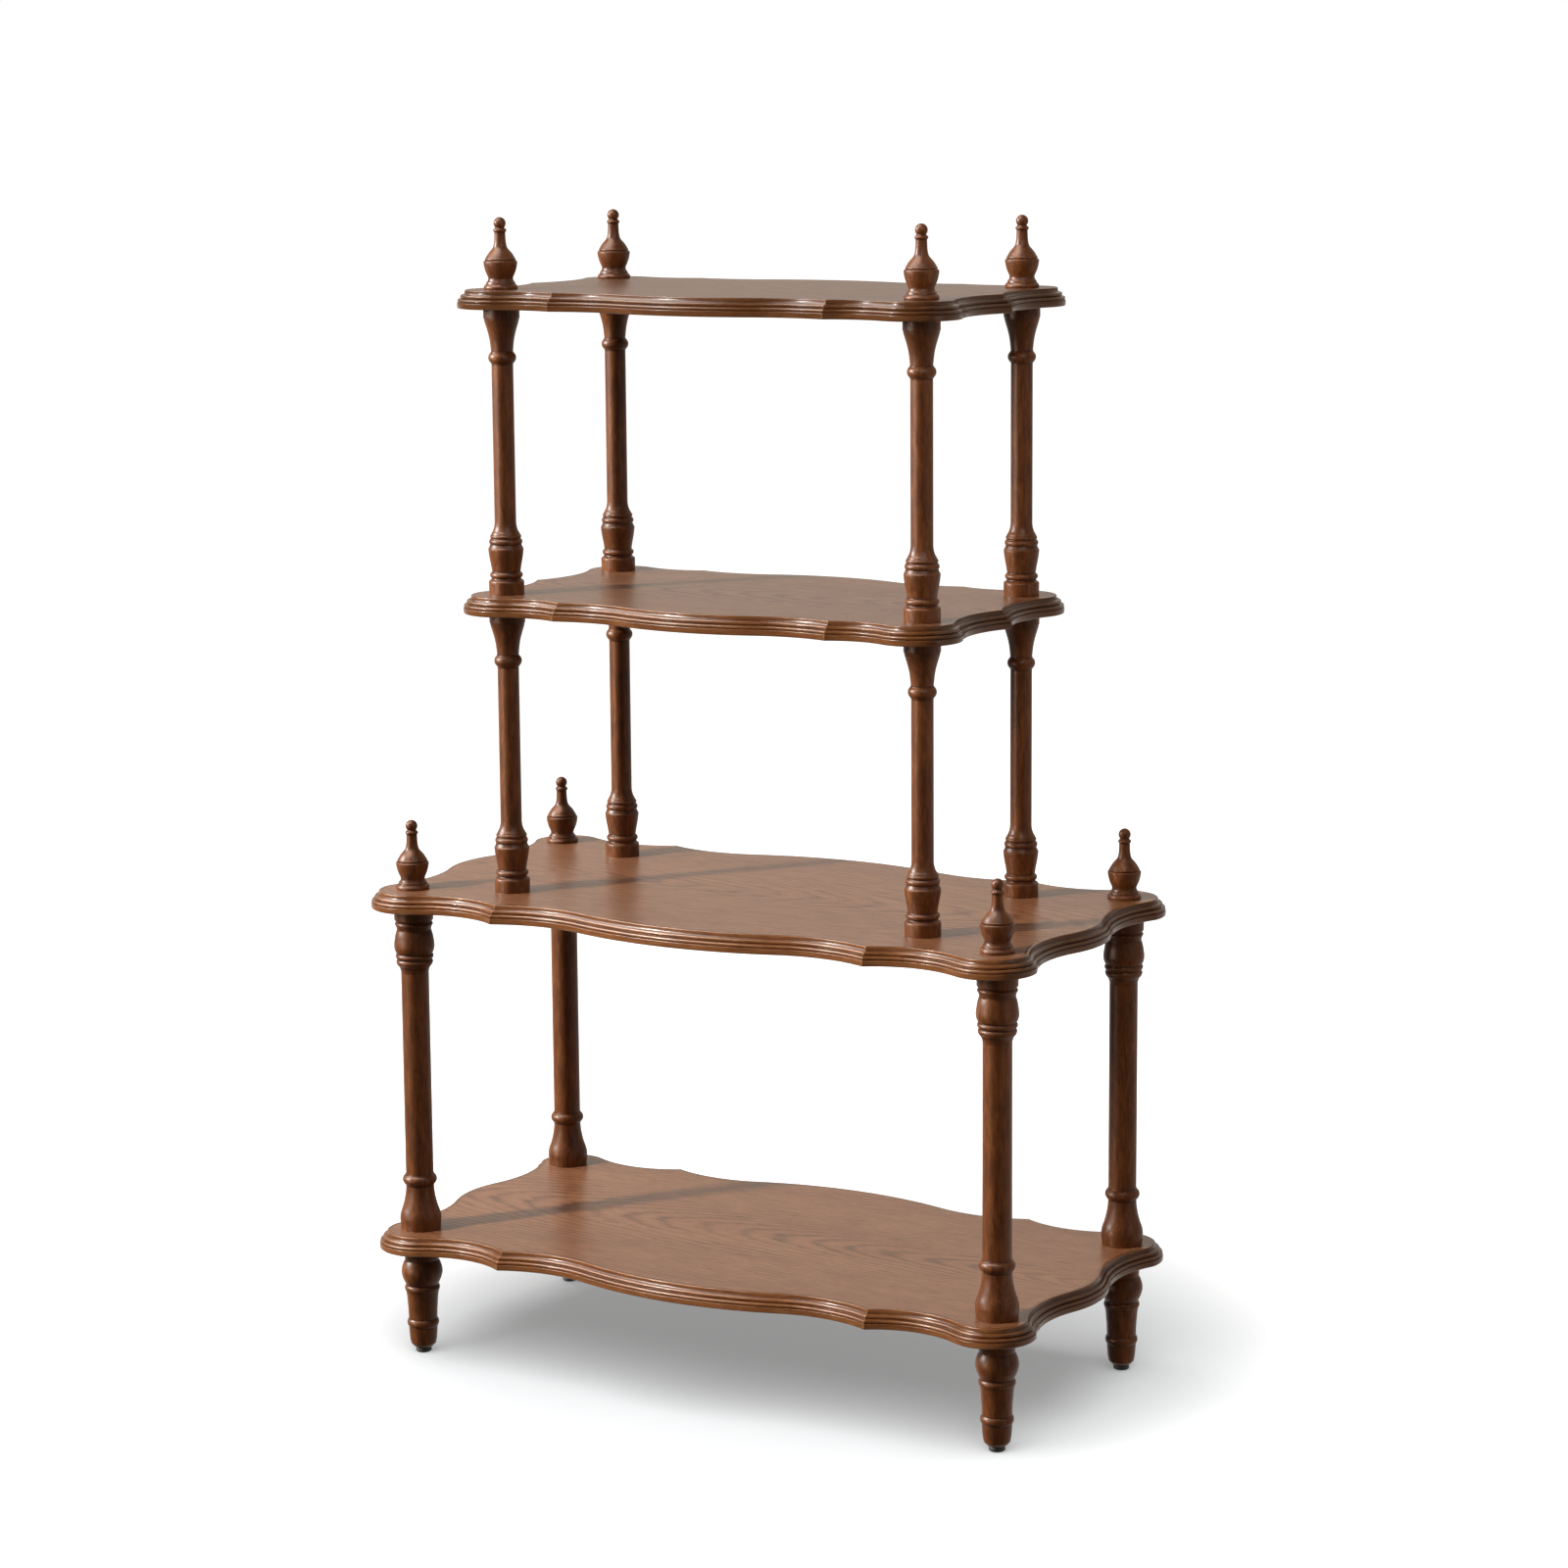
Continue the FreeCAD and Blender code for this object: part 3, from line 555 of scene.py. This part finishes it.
LOWER_POST = profile_of([
    [(0.0, 21.3), (0.5, 21.5)],
    smooth_run([
        (0.5, 21.5), (6.0, 22.1), (12.0, 22.4), (16.0, 21.9), (19.5, 21.0), (25.0, 19.1),
        (31.0, 17.5), (37.0, 16.3), (43.0, 15.5), (48.6, 15.2),
    ]),
    [(49.4, 15.2), (49.5, 16.1)],
    bead(50.0, 60.0, 16.1, 16.1, 2.5),
    [(60.5, 16.1), (60.6, 15.3), (62.5, 15.0)],
    [(286.0, 15.0)],
    smooth_run([(286.0, 15.0), (290.0, 16.2), (292.2, 17.6), (293.6, 18.9)]),
    [(294.0, 18.9)],
    bead(294.2, 299.4, 18.8, 18.7, 1.1),
    bead(300.2, 305.6, 18.8, 19.2, 1.5),
    [(306.2, 19.2)],
    smooth_run([
        (306.6, 19.7), (309.0, 20.9), (312.5, 21.7), (316.0, 21.75), (320.0, 21.3),
        (326.0, 20.3), (330.0, 19.2), (331.8, 18.6),
    ]),
    [(333.4, 18.6)],
    [(333.8, 18.7), (336.0, 19.4)],
    bead(336.4, 340.4, 19.3, 19.3, 1.2),
    [(341.6, 19.3), (342.6, 20.6)],
    [(343.2, 21.0), (358.0, 21.1)],
])
NARROW_POST = profile_of([
    [(0.0, 18.6), (12.9, 18.7)],
    smooth_run([(12.9, 18.7), (14.2, 18.2), (14.9, 17.0)]),
    [(16.2, 15.6), (17.0, 15.4)],
    bead(17.3, 23.3, 15.5, 15.3, 1.95),
    [(24.0, 15.0)],
    smooth_run([
        (24.4, 15.1), (31.0, 16.1), (35.0, 16.9), (39.0, 17.6), (43.0, 18.2), (46.6, 18.6),
    ]),
    [(48.4, 18.6), (49.2, 17.8)],
    [(52.2, 16.6)],
    bead(52.6, 58.6, 16.4, 15.9, 1.45),
    bead(59.2, 63.0, 15.7, 15.3, 0.95),
    smooth_run([(63.6, 15.1), (65.0, 14.5), (67.0, 13.3), (71.0, 12.0), (75.5, 11.4)]),
    [(242.6, 11.4), (242.8, 12.2)],
    bead(243.4, 254.0, 12.2, 12.2, 2.5),
    [(254.6, 12.2), (254.8, 11.6)],
    smooth_run([
        (255.4, 11.6), (260.0, 12.0), (266.0, 12.7), (270.0, 13.4), (274.0, 14.3),
        (278.0, 15.4), (282.0, 16.6), (286.0, 17.8), (288.6, 18.4),
    ]),
    [(289.4, 18.4), (289.8, 19.0), (301.0, 19.0)],
])
BALL_LEVEL = 68.1
BALL_RADIUS = 6.4
BALL = [
    (
        BALL_LEVEL - BALL_RADIUS * math.cos(math.radians(angle)),
        BALL_RADIUS * math.sin(math.radians(angle)),
    )
    for angle in range(48, 180, 11)
]
FINIAL = profile_of([
    [(0.0, 17.4)],
    bead(0.1, 3.9, 17.2, 16.9, 0.75),
    [(4.6, 16.6), (5.2, 15.3)],
    [(7.6, 14.9), (8.0, 14.0)],
    smooth_run([
        (8.2, 13.8), (10.8, 12.95), (13.0, 13.4), (15.0, 14.3), (18.0, 15.6), (21.0, 16.5),
        (24.0, 17.2), (26.6, 17.6),
    ]),
    [(28.8, 17.6), (29.6, 16.6)],
    bead(29.9, 32.3, 15.6, 15.3, 0.6),
    smooth_run([
        (32.7, 15.1), (34.5, 14.1), (37.0, 12.5), (39.5, 10.4), (41.5, 8.6), (43.5, 7.3),
        (46.5, 6.5), (50.0, 6.05), (55.0, 5.8), (58.4, 5.75),
    ]),
    [(58.8, 5.75)],
    bead(59.1, 62.7, 5.9, 5.6, 1.15),
    [(63.2, 5.2)],
    BALL,
    [(74.5, 0.0)],
], reach=0.3)

# Kind of each turned piece, the posts that it stands on, its lower end's height and profile.
TURNINGS = (
    ("foot", WIDE_POSTS, 6.3, FOOT),
    ("lower_post", WIDE_POSTS, 140.0, LOWER_POST),
    ("lower_finial", WIDE_POSTS, 517.0, FINIAL),
    ("middle_post", NARROW_POSTS, 517.0, NARROW_POST),
    ("upper_post", NARROW_POSTS, 837.0, NARROW_POST),
    ("top_finial", NARROW_POSTS, 1157.0, FINIAL),
)


def at_post(post, across, along, level):
    return (post[0] * across * MM, post[1] * along * MM, level * MM)


for corner, across, along in CORNERS:
    for kind, post, level, profile in TURNINGS:
        place = at_post(post, across, along, level)
        piece = lathe(f"turned_{kind}_{corner}", profile, TURNED, place)
        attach(piece, "etagere")
        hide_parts(f"{kind}_{corner}")


# ---- shelves

def crossing(first, first_radius, second, second_radius, side):
    """Where two circles cross, on the given side of the line between their centres."""
    across = second[0] - first[0]
    along = second[1] - first[1]
    gap = math.hypot(across, along)
    reach = (first_radius ** 2 - second_radius ** 2 + gap ** 2) / (2 * gap)
    rise = math.sqrt(max(first_radius ** 2 - reach ** 2, 0.0)) * side
    return (
        first[0] + (reach * across - rise * along) / gap,
        first[1] + (reach * along + rise * across) / gap,
    )


def toward(centre, radius, target):
    """The point of a circle that lies towards a target."""
    gap = math.dist(centre, target)
    return tuple(centre[axis] + (target[axis] - centre[axis]) * radius / gap for axis in (0, 1))


class Edge:
    """The serpentine outline, a quarter at a time, at any inset.

    From the front middle it runs over a belly, an inner hollow, a point, an outer hollow, the
    corner's lobe, a second point and the side's hollow, and ends with a bump or a third point.
    """

    # Arcs that start on a mitre and arcs that end on one, counted from the belly as 0. The
    # side's hollow ends on one where the outline has no bump.
    AFTER_MITRE = (2, 4)
    BEFORE_MITRE = (1, 3)
    SIDE = 4

    def __init__(
        self, post, belly, belly_radius, inner, point, outer,
        lobe, lobe_shift, drop, side, bump, reach,
    ):
        self.belly_radius = belly_radius
        self.belly = (0.0, post[1] + belly - belly_radius)
        self.inner_radius = inner
        self.outer_radius = outer
        self.lobe_radius = lobe
        self.side_radius = side
        self.bump_radius = bump
        tip = (post[0] - point[0], post[1] + point[1])
        self.lobe = (post[0] - lobe_shift[0], post[1] + lobe_shift[1])
        corner = (self.lobe[0] + math.sqrt(lobe ** 2 - drop ** 2), self.lobe[1] - drop)
        self.inner = crossing(self.belly, belly_radius + inner, tip, inner, 1)
        self.outer = crossing(self.lobe, lobe + outer, tip, outer, -1)
        self.bump = (post[0] + reach - bump, 0.0)
        self.side = crossing(self.bump, bump + side, corner, side, -1)

    def quarter(self, inset):
        """Arcs of a quarter: centre, start, end, number of parts."""
        inner = self.inner_radius + inset
        outer = self.outer_radius + inset
        side = self.side_radius + inset
        lobe = self.lobe_radius - inset
        start = (0.0, self.belly[1] + self.belly_radius - inset)
        belly_end = toward(self.belly, self.belly_radius - inset, self.inner)
        tip = crossing(self.inner, inner, self.outer, outer, -1)
        lobe_start = toward(self.lobe, lobe, self.outer)
        corner = crossing(self.lobe, lobe, self.side, side, 1)
        arcs = [
            (self.belly, start, belly_end, 10),
            (self.inner, belly_end, tip, 12),
            (self.outer, tip, lobe_start, 12),
            (self.lobe, lobe_start, corner, 22),
        ]
        if self.bump_radius:
            bump_start = toward(self.bump, self.bump_radius - inset, self.side)
            bump_end = (self.bump[0] + self.bump_radius - inset, 0.0)
            arcs.append((self.side, corner, bump_start, 10))
            arcs.append((self.bump, bump_start, bump_end, 7))
        else:
            reach = self.side[0] - math.sqrt(side ** 2 - self.side[1] ** 2)
            arcs.append((self.side, corner, (reach, 0.0), 14))
        return arcs

    def points(self, inset, rub=0.8):
        """Points of a quarter from the front middle to the side middle, closer at the mitres."""
        out = []
        for number, (centre, start, end, count) in enumerate(self.quarter(inset)):
            first = math.atan2(start[1] - centre[1], start[0] - centre[0])
            last = math.atan2(end[1] - centre[1], end[0] - centre[0])
            turn = (last - first + math.pi) % (2 * math.pi) - math.pi
            radius = math.dist(start, centre)
            near = rub / abs(radius * turn)
            shares = [step / count for step in range(count + 1)]
            if number in self.AFTER_MITRE:
                shares.insert(1, near)
            last_mitre = number == self.SIDE and not self.bump_radius
            if number in self.BEFORE_MITRE or last_mitre:
                shares.insert(-1, 1.0 - near)
            for share in shares[1:] if out else shares:
                angle = first + turn * share
                across = centre[0] + radius * math.cos(angle)
                along = centre[1] + radius * math.sin(angle)
                out.append((across, along))
        return out

    def mitres(self):
        """Which points of a quarter lie on a mitre."""
        counts = [count for _, _, _, count in self.quarter(0.0)]
        tip = counts[0] + counts[1] + 1
        corner = tip + counts[2] + 1 + counts[3] + 1
        places = [tip, corner]
        if not self.bump_radius:
            places.append(corner + counts[self.SIDE] + 2)
        return places

    def ring(self, inset):
        """Points all round, from the front middle towards the right."""
        quarter = self.points(inset)
        front_right = [(x, -y) for x, y in quarter]
        rear_right = [(x, y) for x, y in reversed(quarter)][1:]
        rear_left = [(-x, y) for x, y in quarter][1:]
        front_left = [(-x, -y) for x, y in reversed(quarter)][1:-1]
        return front_right + rear_right + rear_left + front_left


def bulge(centre, radius, first, last, steps):
    """Points of a bead of the moulding, with its angles in degrees from straight out."""
    out = []
    for step in range(steps + 1):
        angle = math.radians(first + (last - first) * step / steps)
        out.append((centre[0] - radius * math.cos(angle), centre[1] + radius * math.sin(angle)))
    return out


# Section of the moulding from the board's underside to its top: (inset, height).
SECTION = soften(
    [(1.0, 0.0), (0.2, 0.6), (0.0, 1.6), (0.0, 5.6), (0.2, 6.1), (1.0, 6.25)]
    + bulge((2.3, 8.1), 1.8, -60, 80, 9)
    + [(3.2, 10.1), (4.0, 10.25)]
    + bulge((5.5, 12.2), 2.0, -54, 80, 9)
    + [(6.6, 14.3), (7.4, 14.6), (7.9, 15.5), (8.3, 17.4)]
    + bulge((9.3, 18.0), 1.0, 10, 82, 5)
    + [(11.0, 19.0), (13.0, 19.0)],
    0.2,
)

# Wear on the mitres: at the front and rear points, at the others, and its share on the top.
POINT_WEAR = 0.6
CORNER_WEAR = 0.15
TOP_WEAR_SHARE = 0.3
TOP_STARTS = 18.9


def lay_grain(piece, vertices, outline, sides):
    """UV map in metres: plain from above on the top and underside, unrolled along the moulding."""
    count = len(outline)
    lengths = [0.0]
    for index in range(count):
        lengths.append(lengths[-1] + math.dist(outline[index], outline[(index + 1) % count]))
    climb = [0.0]
    for low, high in zip(SECTION, SECTION[1:]):
        climb.append(climb[-1] + math.dist(low, high))
    mesh = piece.data
    sheet = mesh.uv_layers.new(name="grain")
    for polygon in mesh.polygons:
        if polygon.index >= sides:
            for loop in polygon.loop_indices:
                across, along, _ = vertices[mesh.loops[loop].vertex_index]
                sheet.data[loop].uv = (across, along)
            continue
        polygon.material_index = 1
        index = polygon.index % count
        for loop in polygon.loop_indices:
            row, at = divmod(mesh.loops[loop].vertex_index, count)
            place = at + count if index == count - 1 and at == 0 else at
            far = lengths[place] if index < count / 2 else lengths[place] - lengths[-1]
            sheet.data[loop].uv = (far * MM, climb[row] * MM)


def shelf_piece(name, edge, level):
    """A board with the moulding all round it."""
    rings = [edge.ring(inset) for inset, _ in SECTION]
    count = len(rings[0])
    half = count // 2
    marks = set()
    tips = set()
    for number, mitre in enumerate(edge.mitres()):
        copies = {mitre, half - mitre, half + mitre, (count - mitre) % count}
        marks |= copies
        if number == 0:
            tips |= copies
    vertices = []
    wear = []
    # How deep each row of the section lies in a groove, for the painted shade of the moulding.
    depths = hollows([(height, -inset) for inset, height in SECTION])
    hollow = [depth for depth in depths for _ in range(count)]
    for ring, (_, height) in zip(rings, SECTION):
        for index, (x, y) in enumerate(ring):
            vertices.append((x * MM, y * MM, height * MM))
            rub = POINT_WEAR if index in tips else CORNER_WEAR if index in marks else 0.0
            wear.append(rub if height < TOP_STARTS else TOP_WEAR_SHARE * rub)
    faces = []
    for low in range(0, (len(rings) - 1) * count, count):
        high = low + count
        for index in range(count):
            after = (index + 1) % count
            faces.append((low + index, low + after, high + after, high + index))
    sides = len(faces)
    faces.append(tuple(reversed(range(count))))
    faces.append(tuple(range((len(rings) - 1) * count, len(rings) * count)))
    place = (0.0, 0.0, level * MM)
    piece = mesh_piece(name, vertices, faces, BOARD, place, crease=34.0, wear=wear, hollow=hollow)
    piece.data.materials.append(EDGE)
    lay_grain(piece, vertices, rings[0], sides)
    return piece


WIDE_EDGE = Edge(
    post=WIDE_POSTS,
    belly=59.0,
    belly_radius=385.0,
    inner=140.0,
    point=(128.0, 47.0),
    outer=95.0,
    lobe=46.0,
    lobe_shift=(4.0, 4.0),
    drop=26.0,
    side=120.0,
    bump=120.0,
    reach=43.0,
)
NARROW_EDGE = Edge(
    post=NARROW_POSTS,
    belly=60.5,
    belly_radius=250.0,
    inner=130.0,
    point=(86.0, 47.5),
    outer=70.0,
    lobe=46.0,
    lobe_shift=(3.0, 4.5),
    drop=17.0,
    side=110.0,
    bump=0.0,
    reach=44.0,
)
for name, edge, level in (
    ("bottom_shelf", WIDE_EDGE, 121.0),
    ("second_shelf", WIDE_EDGE, 498.0),
    ("third_shelf", NARROW_EDGE, 818.0),
    ("top_shelf", NARROW_EDGE, 1138.0),
):
    piece = shelf_piece(f"moulded_{name}", edge, level)
    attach(piece, "etagere")
    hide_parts(name)


# ---- glides

# Rows of a glide pad: height, radius, and whether the row is ribbed.
PAD_ROWS = (
    (0.0, 6.6, False),
    (0.35, 7.5, False),
    (1.0, 7.95, False),
    (1.3, 8.1, True),
    (4.6, 8.1, True),
    (5.0, 8.0, False),
    (5.7, 7.2, False),
    (6.0, 6.4, False),
)
RIB_RISE = 0.35


def knurled(name, place, around=96):
    """A black glide pad with a ribbed side and a rounded sole."""
    vertices = []
    faces = []
    for height, radius, ribbed in PAD_ROWS:
        for step in range(around):
            angle = 2 * math.pi * step / around
            reach = radius + (RIB_RISE if ribbed and step % 4 < 2 else 0.0)
            across = reach * MM * math.cos(angle)
            along = reach * MM * math.sin(angle)
            vertices.append((across, along, height * MM))
    for low in range(0, (len(PAD_ROWS) - 1) * around, around):
        high = low + around
        for step in range(around):
            after = (step + 1) % around
            faces.append((low + step, low + after, high + after, high + step))
    faces.append(tuple(reversed(range(around))))
    faces.append(tuple(range((len(PAD_ROWS) - 1) * around, len(PAD_ROWS) * around)))
    return mesh_piece(name, vertices, faces, PLASTIC, place)


for corner, across, along in CORNERS:
    pad = knurled(f"glide_foot_{corner}", at_post(WIDE_POSTS, across, along, 0.0))
    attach(pad, f"glide_{corner}")
    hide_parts(f"glide_pad_{corner}")


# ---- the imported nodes

for name, node in frame["nodes"].items():
    if name.endswith("screws") or name.startswith("glide_stem"):
        material = STEEL
    elif name == "glide_inserts":
        material = BRASS
    elif name.startswith("glide_pad"):
        material = PLASTIC
    elif name.endswith("shelf"):
        material = BOARD
    else:
        material = TURNED
    node.data.materials.clear()
    node.data.materials.append(material)


# ---- floor

FLOOR_REACH = 40.0
FLOOR_CORNERS = ((-1, -1), (1, -1), (1, 1), (-1, 1))
FLOOR_COLOUR = (0.60, 0.61, 0.62, 1.0)

# Painted light: the floor glows for the camera, weakly round this place, where the glow lifts the
# top lamp's shadow, and more farther out until it is plain white and the shadow fades. The weak
# glow is a little cool.
SHADE_CENTRE = (0.01, 0.08, 0.0)
SHADE_ENDS = 0.36
WHITE_STARTS = 0.80
SHADE_GLOW = 0.27
SHADE_TINT = (0.95, 1.0, 1.02, 1.0)


def floor_material():
    """Pale matt floor with a painted glow: weak near the feet, where the shadow shows, and plain
    white farther out.
    """
    material = bpy.data.materials.new("studio_floor")
    material.use_nodes = True
    tree = material.node_tree
    tree.nodes.clear()
    out = tree.nodes.new("ShaderNodeOutputMaterial")
    diffuse = tree.nodes.new("ShaderNodeBsdfDiffuse")
    diffuse.inputs["Color"].default_value = FLOOR_COLOUR
    place = tree.nodes.new("ShaderNodeTexCoord").outputs["Object"]
    reach = vector_node(tree, "DISTANCE", place, SHADE_CENTRE).outputs["Value"]
    spread = smooth_range(tree, reach, SHADE_ENDS, WHITE_STARTS, SHADE_GLOW)
    tint = ramp(tree, spread, [(SHADE_GLOW, SHADE_TINT), (0.5, grey(1.0))])
    seen = tree.nodes.new("ShaderNodeLightPath").outputs["Is Camera Ray"]
    glow = tree.nodes.new("ShaderNodeEmission")
    tree.links.new(tint, glow.inputs["Color"])
    tree.links.new(math_node(tree, "MULTIPLY", seen, spread), glow.inputs["Strength"])
    both = tree.nodes.new("ShaderNodeAddShader")
    tree.links.new(diffuse.outputs["BSDF"], both.inputs[0])
    tree.links.new(glow.outputs["Emission"], both.inputs[1])
    tree.links.new(both.outputs["Shader"], out.inputs["Surface"])
    return material


mesh = bpy.data.meshes.new("studio_floor")
vertices = [(x * FLOOR_REACH, y * FLOOR_REACH, 0.0) for x, y in FLOOR_CORNERS]
mesh.from_pydata(vertices, [], [(0, 1, 2, 3)])
floor = bpy.data.objects.new("studio_floor", mesh)
bpy.context.scene.collection.objects.link(floor)
floor.data.materials.append(floor_material())
floor.visible_diffuse = False
floor.visible_glossy = False


# ---- lamps

WARM_KEY = (1.0, 0.97, 0.93)
WARM_TURNED = (1.0, 0.96, 0.92)
WARM_BACK = (1.0, 0.9, 0.82)
WARM_CROWN = (1.0, 0.92, 0.84)
WARM_STREAK = (1.0, 0.76, 0.6)
WARM_GLINT = (1.0, 0.87, 0.78)
WARM_SHEEN = (1.0, 0.88, 0.8)


def softbox(name, azimuth, elevation, distance, aim, size, power, colour=(1.0, 1.0, 1.0)):
    """A soft rectangular lamp, aimed at a height over the middle of the floor.

    Its azimuth is in degrees from +X towards +Y, so that 270 is straight in front.
    """
    light = bpy.data.lights.new(name, "AREA")
    light.shape = "RECTANGLE"
    light.size, light.size_y = size
    light.energy = power
    light.color = colour
    lamp = bpy.data.objects.new(name, light)
    bpy.context.scene.collection.objects.link(lamp)
    turn = math.radians(azimuth)
    lift = math.radians(elevation)
    offset = Vector((
        math.cos(lift) * math.cos(turn),
        math.cos(lift) * math.sin(turn),
        math.sin(lift),
    ))
    lamp.location = Vector((0.0, 0.0, aim)) + offset * distance
    lamp.rotation_euler = offset.to_track_quat("Z", "Y").to_euler()
    return lamp


def lit_by(name, objects, state, lamps):
    """Lamps that light only these objects, or all but these."""
    group = bpy.data.collections.new(name)
    for item in objects:
        group.objects.link(item)
    for entry in group.collection_objects:
        entry.light_linking.link_state = state
    for lamp in lamps:
        lamp.light_linking.receiver_collection = group


# Lamps of the turned pieces, streak and glint for gloss alone. Fill is for the whole object.
turned = softbox("turned_light", 207.0, 22.0, 5.0, 0.6, (1.6, 2.0), 900.0, WARM_TURNED)
fill = softbox("fill_light", 352.0, 4.0, 3.0, 0.6, (1.0, 1.4), 6.0, WARM_BACK)
rim = softbox("rim_light", 352.0, 4.0, 3.0, 0.6, (1.0, 1.4), 18.0, WARM_BACK)
crown = softbox("crown_light", 315.0, 42.0, 1.7, 0.7, (1.0, 1.0), 15.0, WARM_CROWN)
streak = softbox("streak_light", 232.0, 0.0, 5.0, 0.5, (2.0, 0.8), 120.0, WARM_STREAK)
glint = softbox("glint_light", 225.0, 62.0, 4.0, 0.6, (3.0, 3.0), 500.0, WARM_GLINT)
glint.visible_diffuse = False
streak.visible_diffuse = False

# The floor's lamp, which throws the shadow under the object.
top = softbox("top_light", 276.0, 67.0, 3.0, 0.0, (4.4, 4.4), 200.0)

# Lamps of the shelves, tier by tier, with less light higher up. Sheen is for gloss alone.
for name, names, share in (
    ("lower", ("moulded_bottom_shelf", "moulded_second_shelf"), 1.12),
    ("third", ("moulded_third_shelf",), 0.88),
    ("top", ("moulded_top_shelf",), 0.55),
):
    key = softbox(f"key_{name}", 231.0, 27.0, 5.0, 0.55, (0.26, 0.5), 285.0 * share, WARM_KEY)
    side = softbox(f"side_{name}", 209.0, 24.0, 5.0, 0.6, (5.0, 1.4), 150.0 * share, WARM_KEY)
    sheen = softbox(f"sheen_{name}", 204.0, 50.0, 4.0, 0.6, (3.6, 3.0), 810.0 * share, WARM_SHEEN)
    sheen.visible_diffuse = False
    tier = [bpy.data.objects[entry] for entry in names]
    lit_by(f"{name}_lamps", tier, "INCLUDE", (key, side, sheen))

shelves = [item for item in bpy.data.objects if item.name.startswith("moulded_")]
lit_by("turned_lamps", shelves + [floor], "EXCLUDE", (turned, rim, crown, glint, streak))
lit_by("object_lamps", [floor], "EXCLUDE", (fill,))
lit_by("floor_lamps", [floor], "INCLUDE", (top,))


# ---- world

AMBIENT = 0.15
WARM_LOW = (1.0, 0.94, 0.87, 1.0)
WARM_HIGH = (1.0, 0.86, 0.70, 1.0)

# What a mirrored ray finds by its height, where 0.5 is level, and where the backdrop begins.
MIRRORED = [
    (0.46, grey(0.8)),
    (0.50, grey(0.12)),
    (0.53, grey(0.12)),
    (0.565, grey(0.34)),
    (0.60, grey(0.96)),
    (0.64, grey(0.82)),
]
BACKDROP_FROM = -0.25
BACKDROP_TO = 0.35


def mirrored_rays(tree, direction, path):
    """How much a reflected or refracted ray finds of the backdrop: most behind and above."""
    split = tree.nodes.new("ShaderNodeSeparateXYZ")
    tree.links.new(direction, split.inputs["Vector"])
    behind = smooth_range(tree, split.outputs["Y"], BACKDROP_FROM, BACKDROP_TO)
    height = math_node(tree, "MULTIPLY_ADD", split.outputs["Z"], 0.5, 0.5)
    level = math_node(tree, "MULTIPLY", behind, ramp(tree, height, MIRRORED))
    mirrored = math_node(tree, "MAXIMUM", path["Is Glossy Ray"], path["Is Transmission Ray"])
    return math_node(tree, "MULTIPLY", mirrored, level)


world = bpy.data.worlds.new("studio_world")
bpy.context.scene.world = world
world.use_nodes = True
tree = world.node_tree
tree.nodes.clear()
out = tree.nodes.new("ShaderNodeOutputWorld")
back = tree.nodes.new("ShaderNodeBackground")
around = tree.nodes.new("ShaderNodeTexCoord").outputs["Generated"]
path = tree.nodes.new("ShaderNodeLightPath").outputs
seen = path["Is Camera Ray"]
split = tree.nodes.new("ShaderNodeSeparateXYZ")
tree.links.new(around, split.inputs["Vector"])
warm = ramp(tree, split.outputs["Z"], [(0.20, WARM_LOW), (0.29, WARM_HIGH)])
tree.links.new(blend(tree, "MIX", seen, warm, grey(1.0)), back.inputs["Color"])
bright = math_node(tree, "MAXIMUM", seen, mirrored_rays(tree, around, path))
strength = math_node(tree, "MULTIPLY_ADD", bright, 1.0 - AMBIENT, AMBIENT)
tree.links.new(strength, back.inputs["Strength"])
tree.links.new(back.outputs["Background"], out.inputs["Surface"])


# ---- camera

CAMERA_PLACE = (2.1417, -3.7617, 1.4001)
CAMERA_AZIMUTH = 29.38
CAMERA_ELEVATION = 10.03
CAMERA_ROLL = -0.456

scene = bpy.context.scene
scene.view_settings.view_transform = "Standard"
lens = bpy.data.cameras.new("camera")
lens.sensor_width = 36.0
lens.lens = 95.27
lens.clip_end = 100.0
camera = bpy.data.objects.new("camera", lens)
scene.collection.objects.link(camera)
camera.matrix_world = (
    Matrix.Translation(CAMERA_PLACE)
    @ Matrix.Rotation(math.radians(CAMERA_AZIMUTH), 4, "Z")
    @ Matrix.Rotation(math.radians(90.0 - CAMERA_ELEVATION), 4, "X")
    @ Matrix.Rotation(math.radians(CAMERA_ROLL), 4, "Z")
)
scene.camera = camera
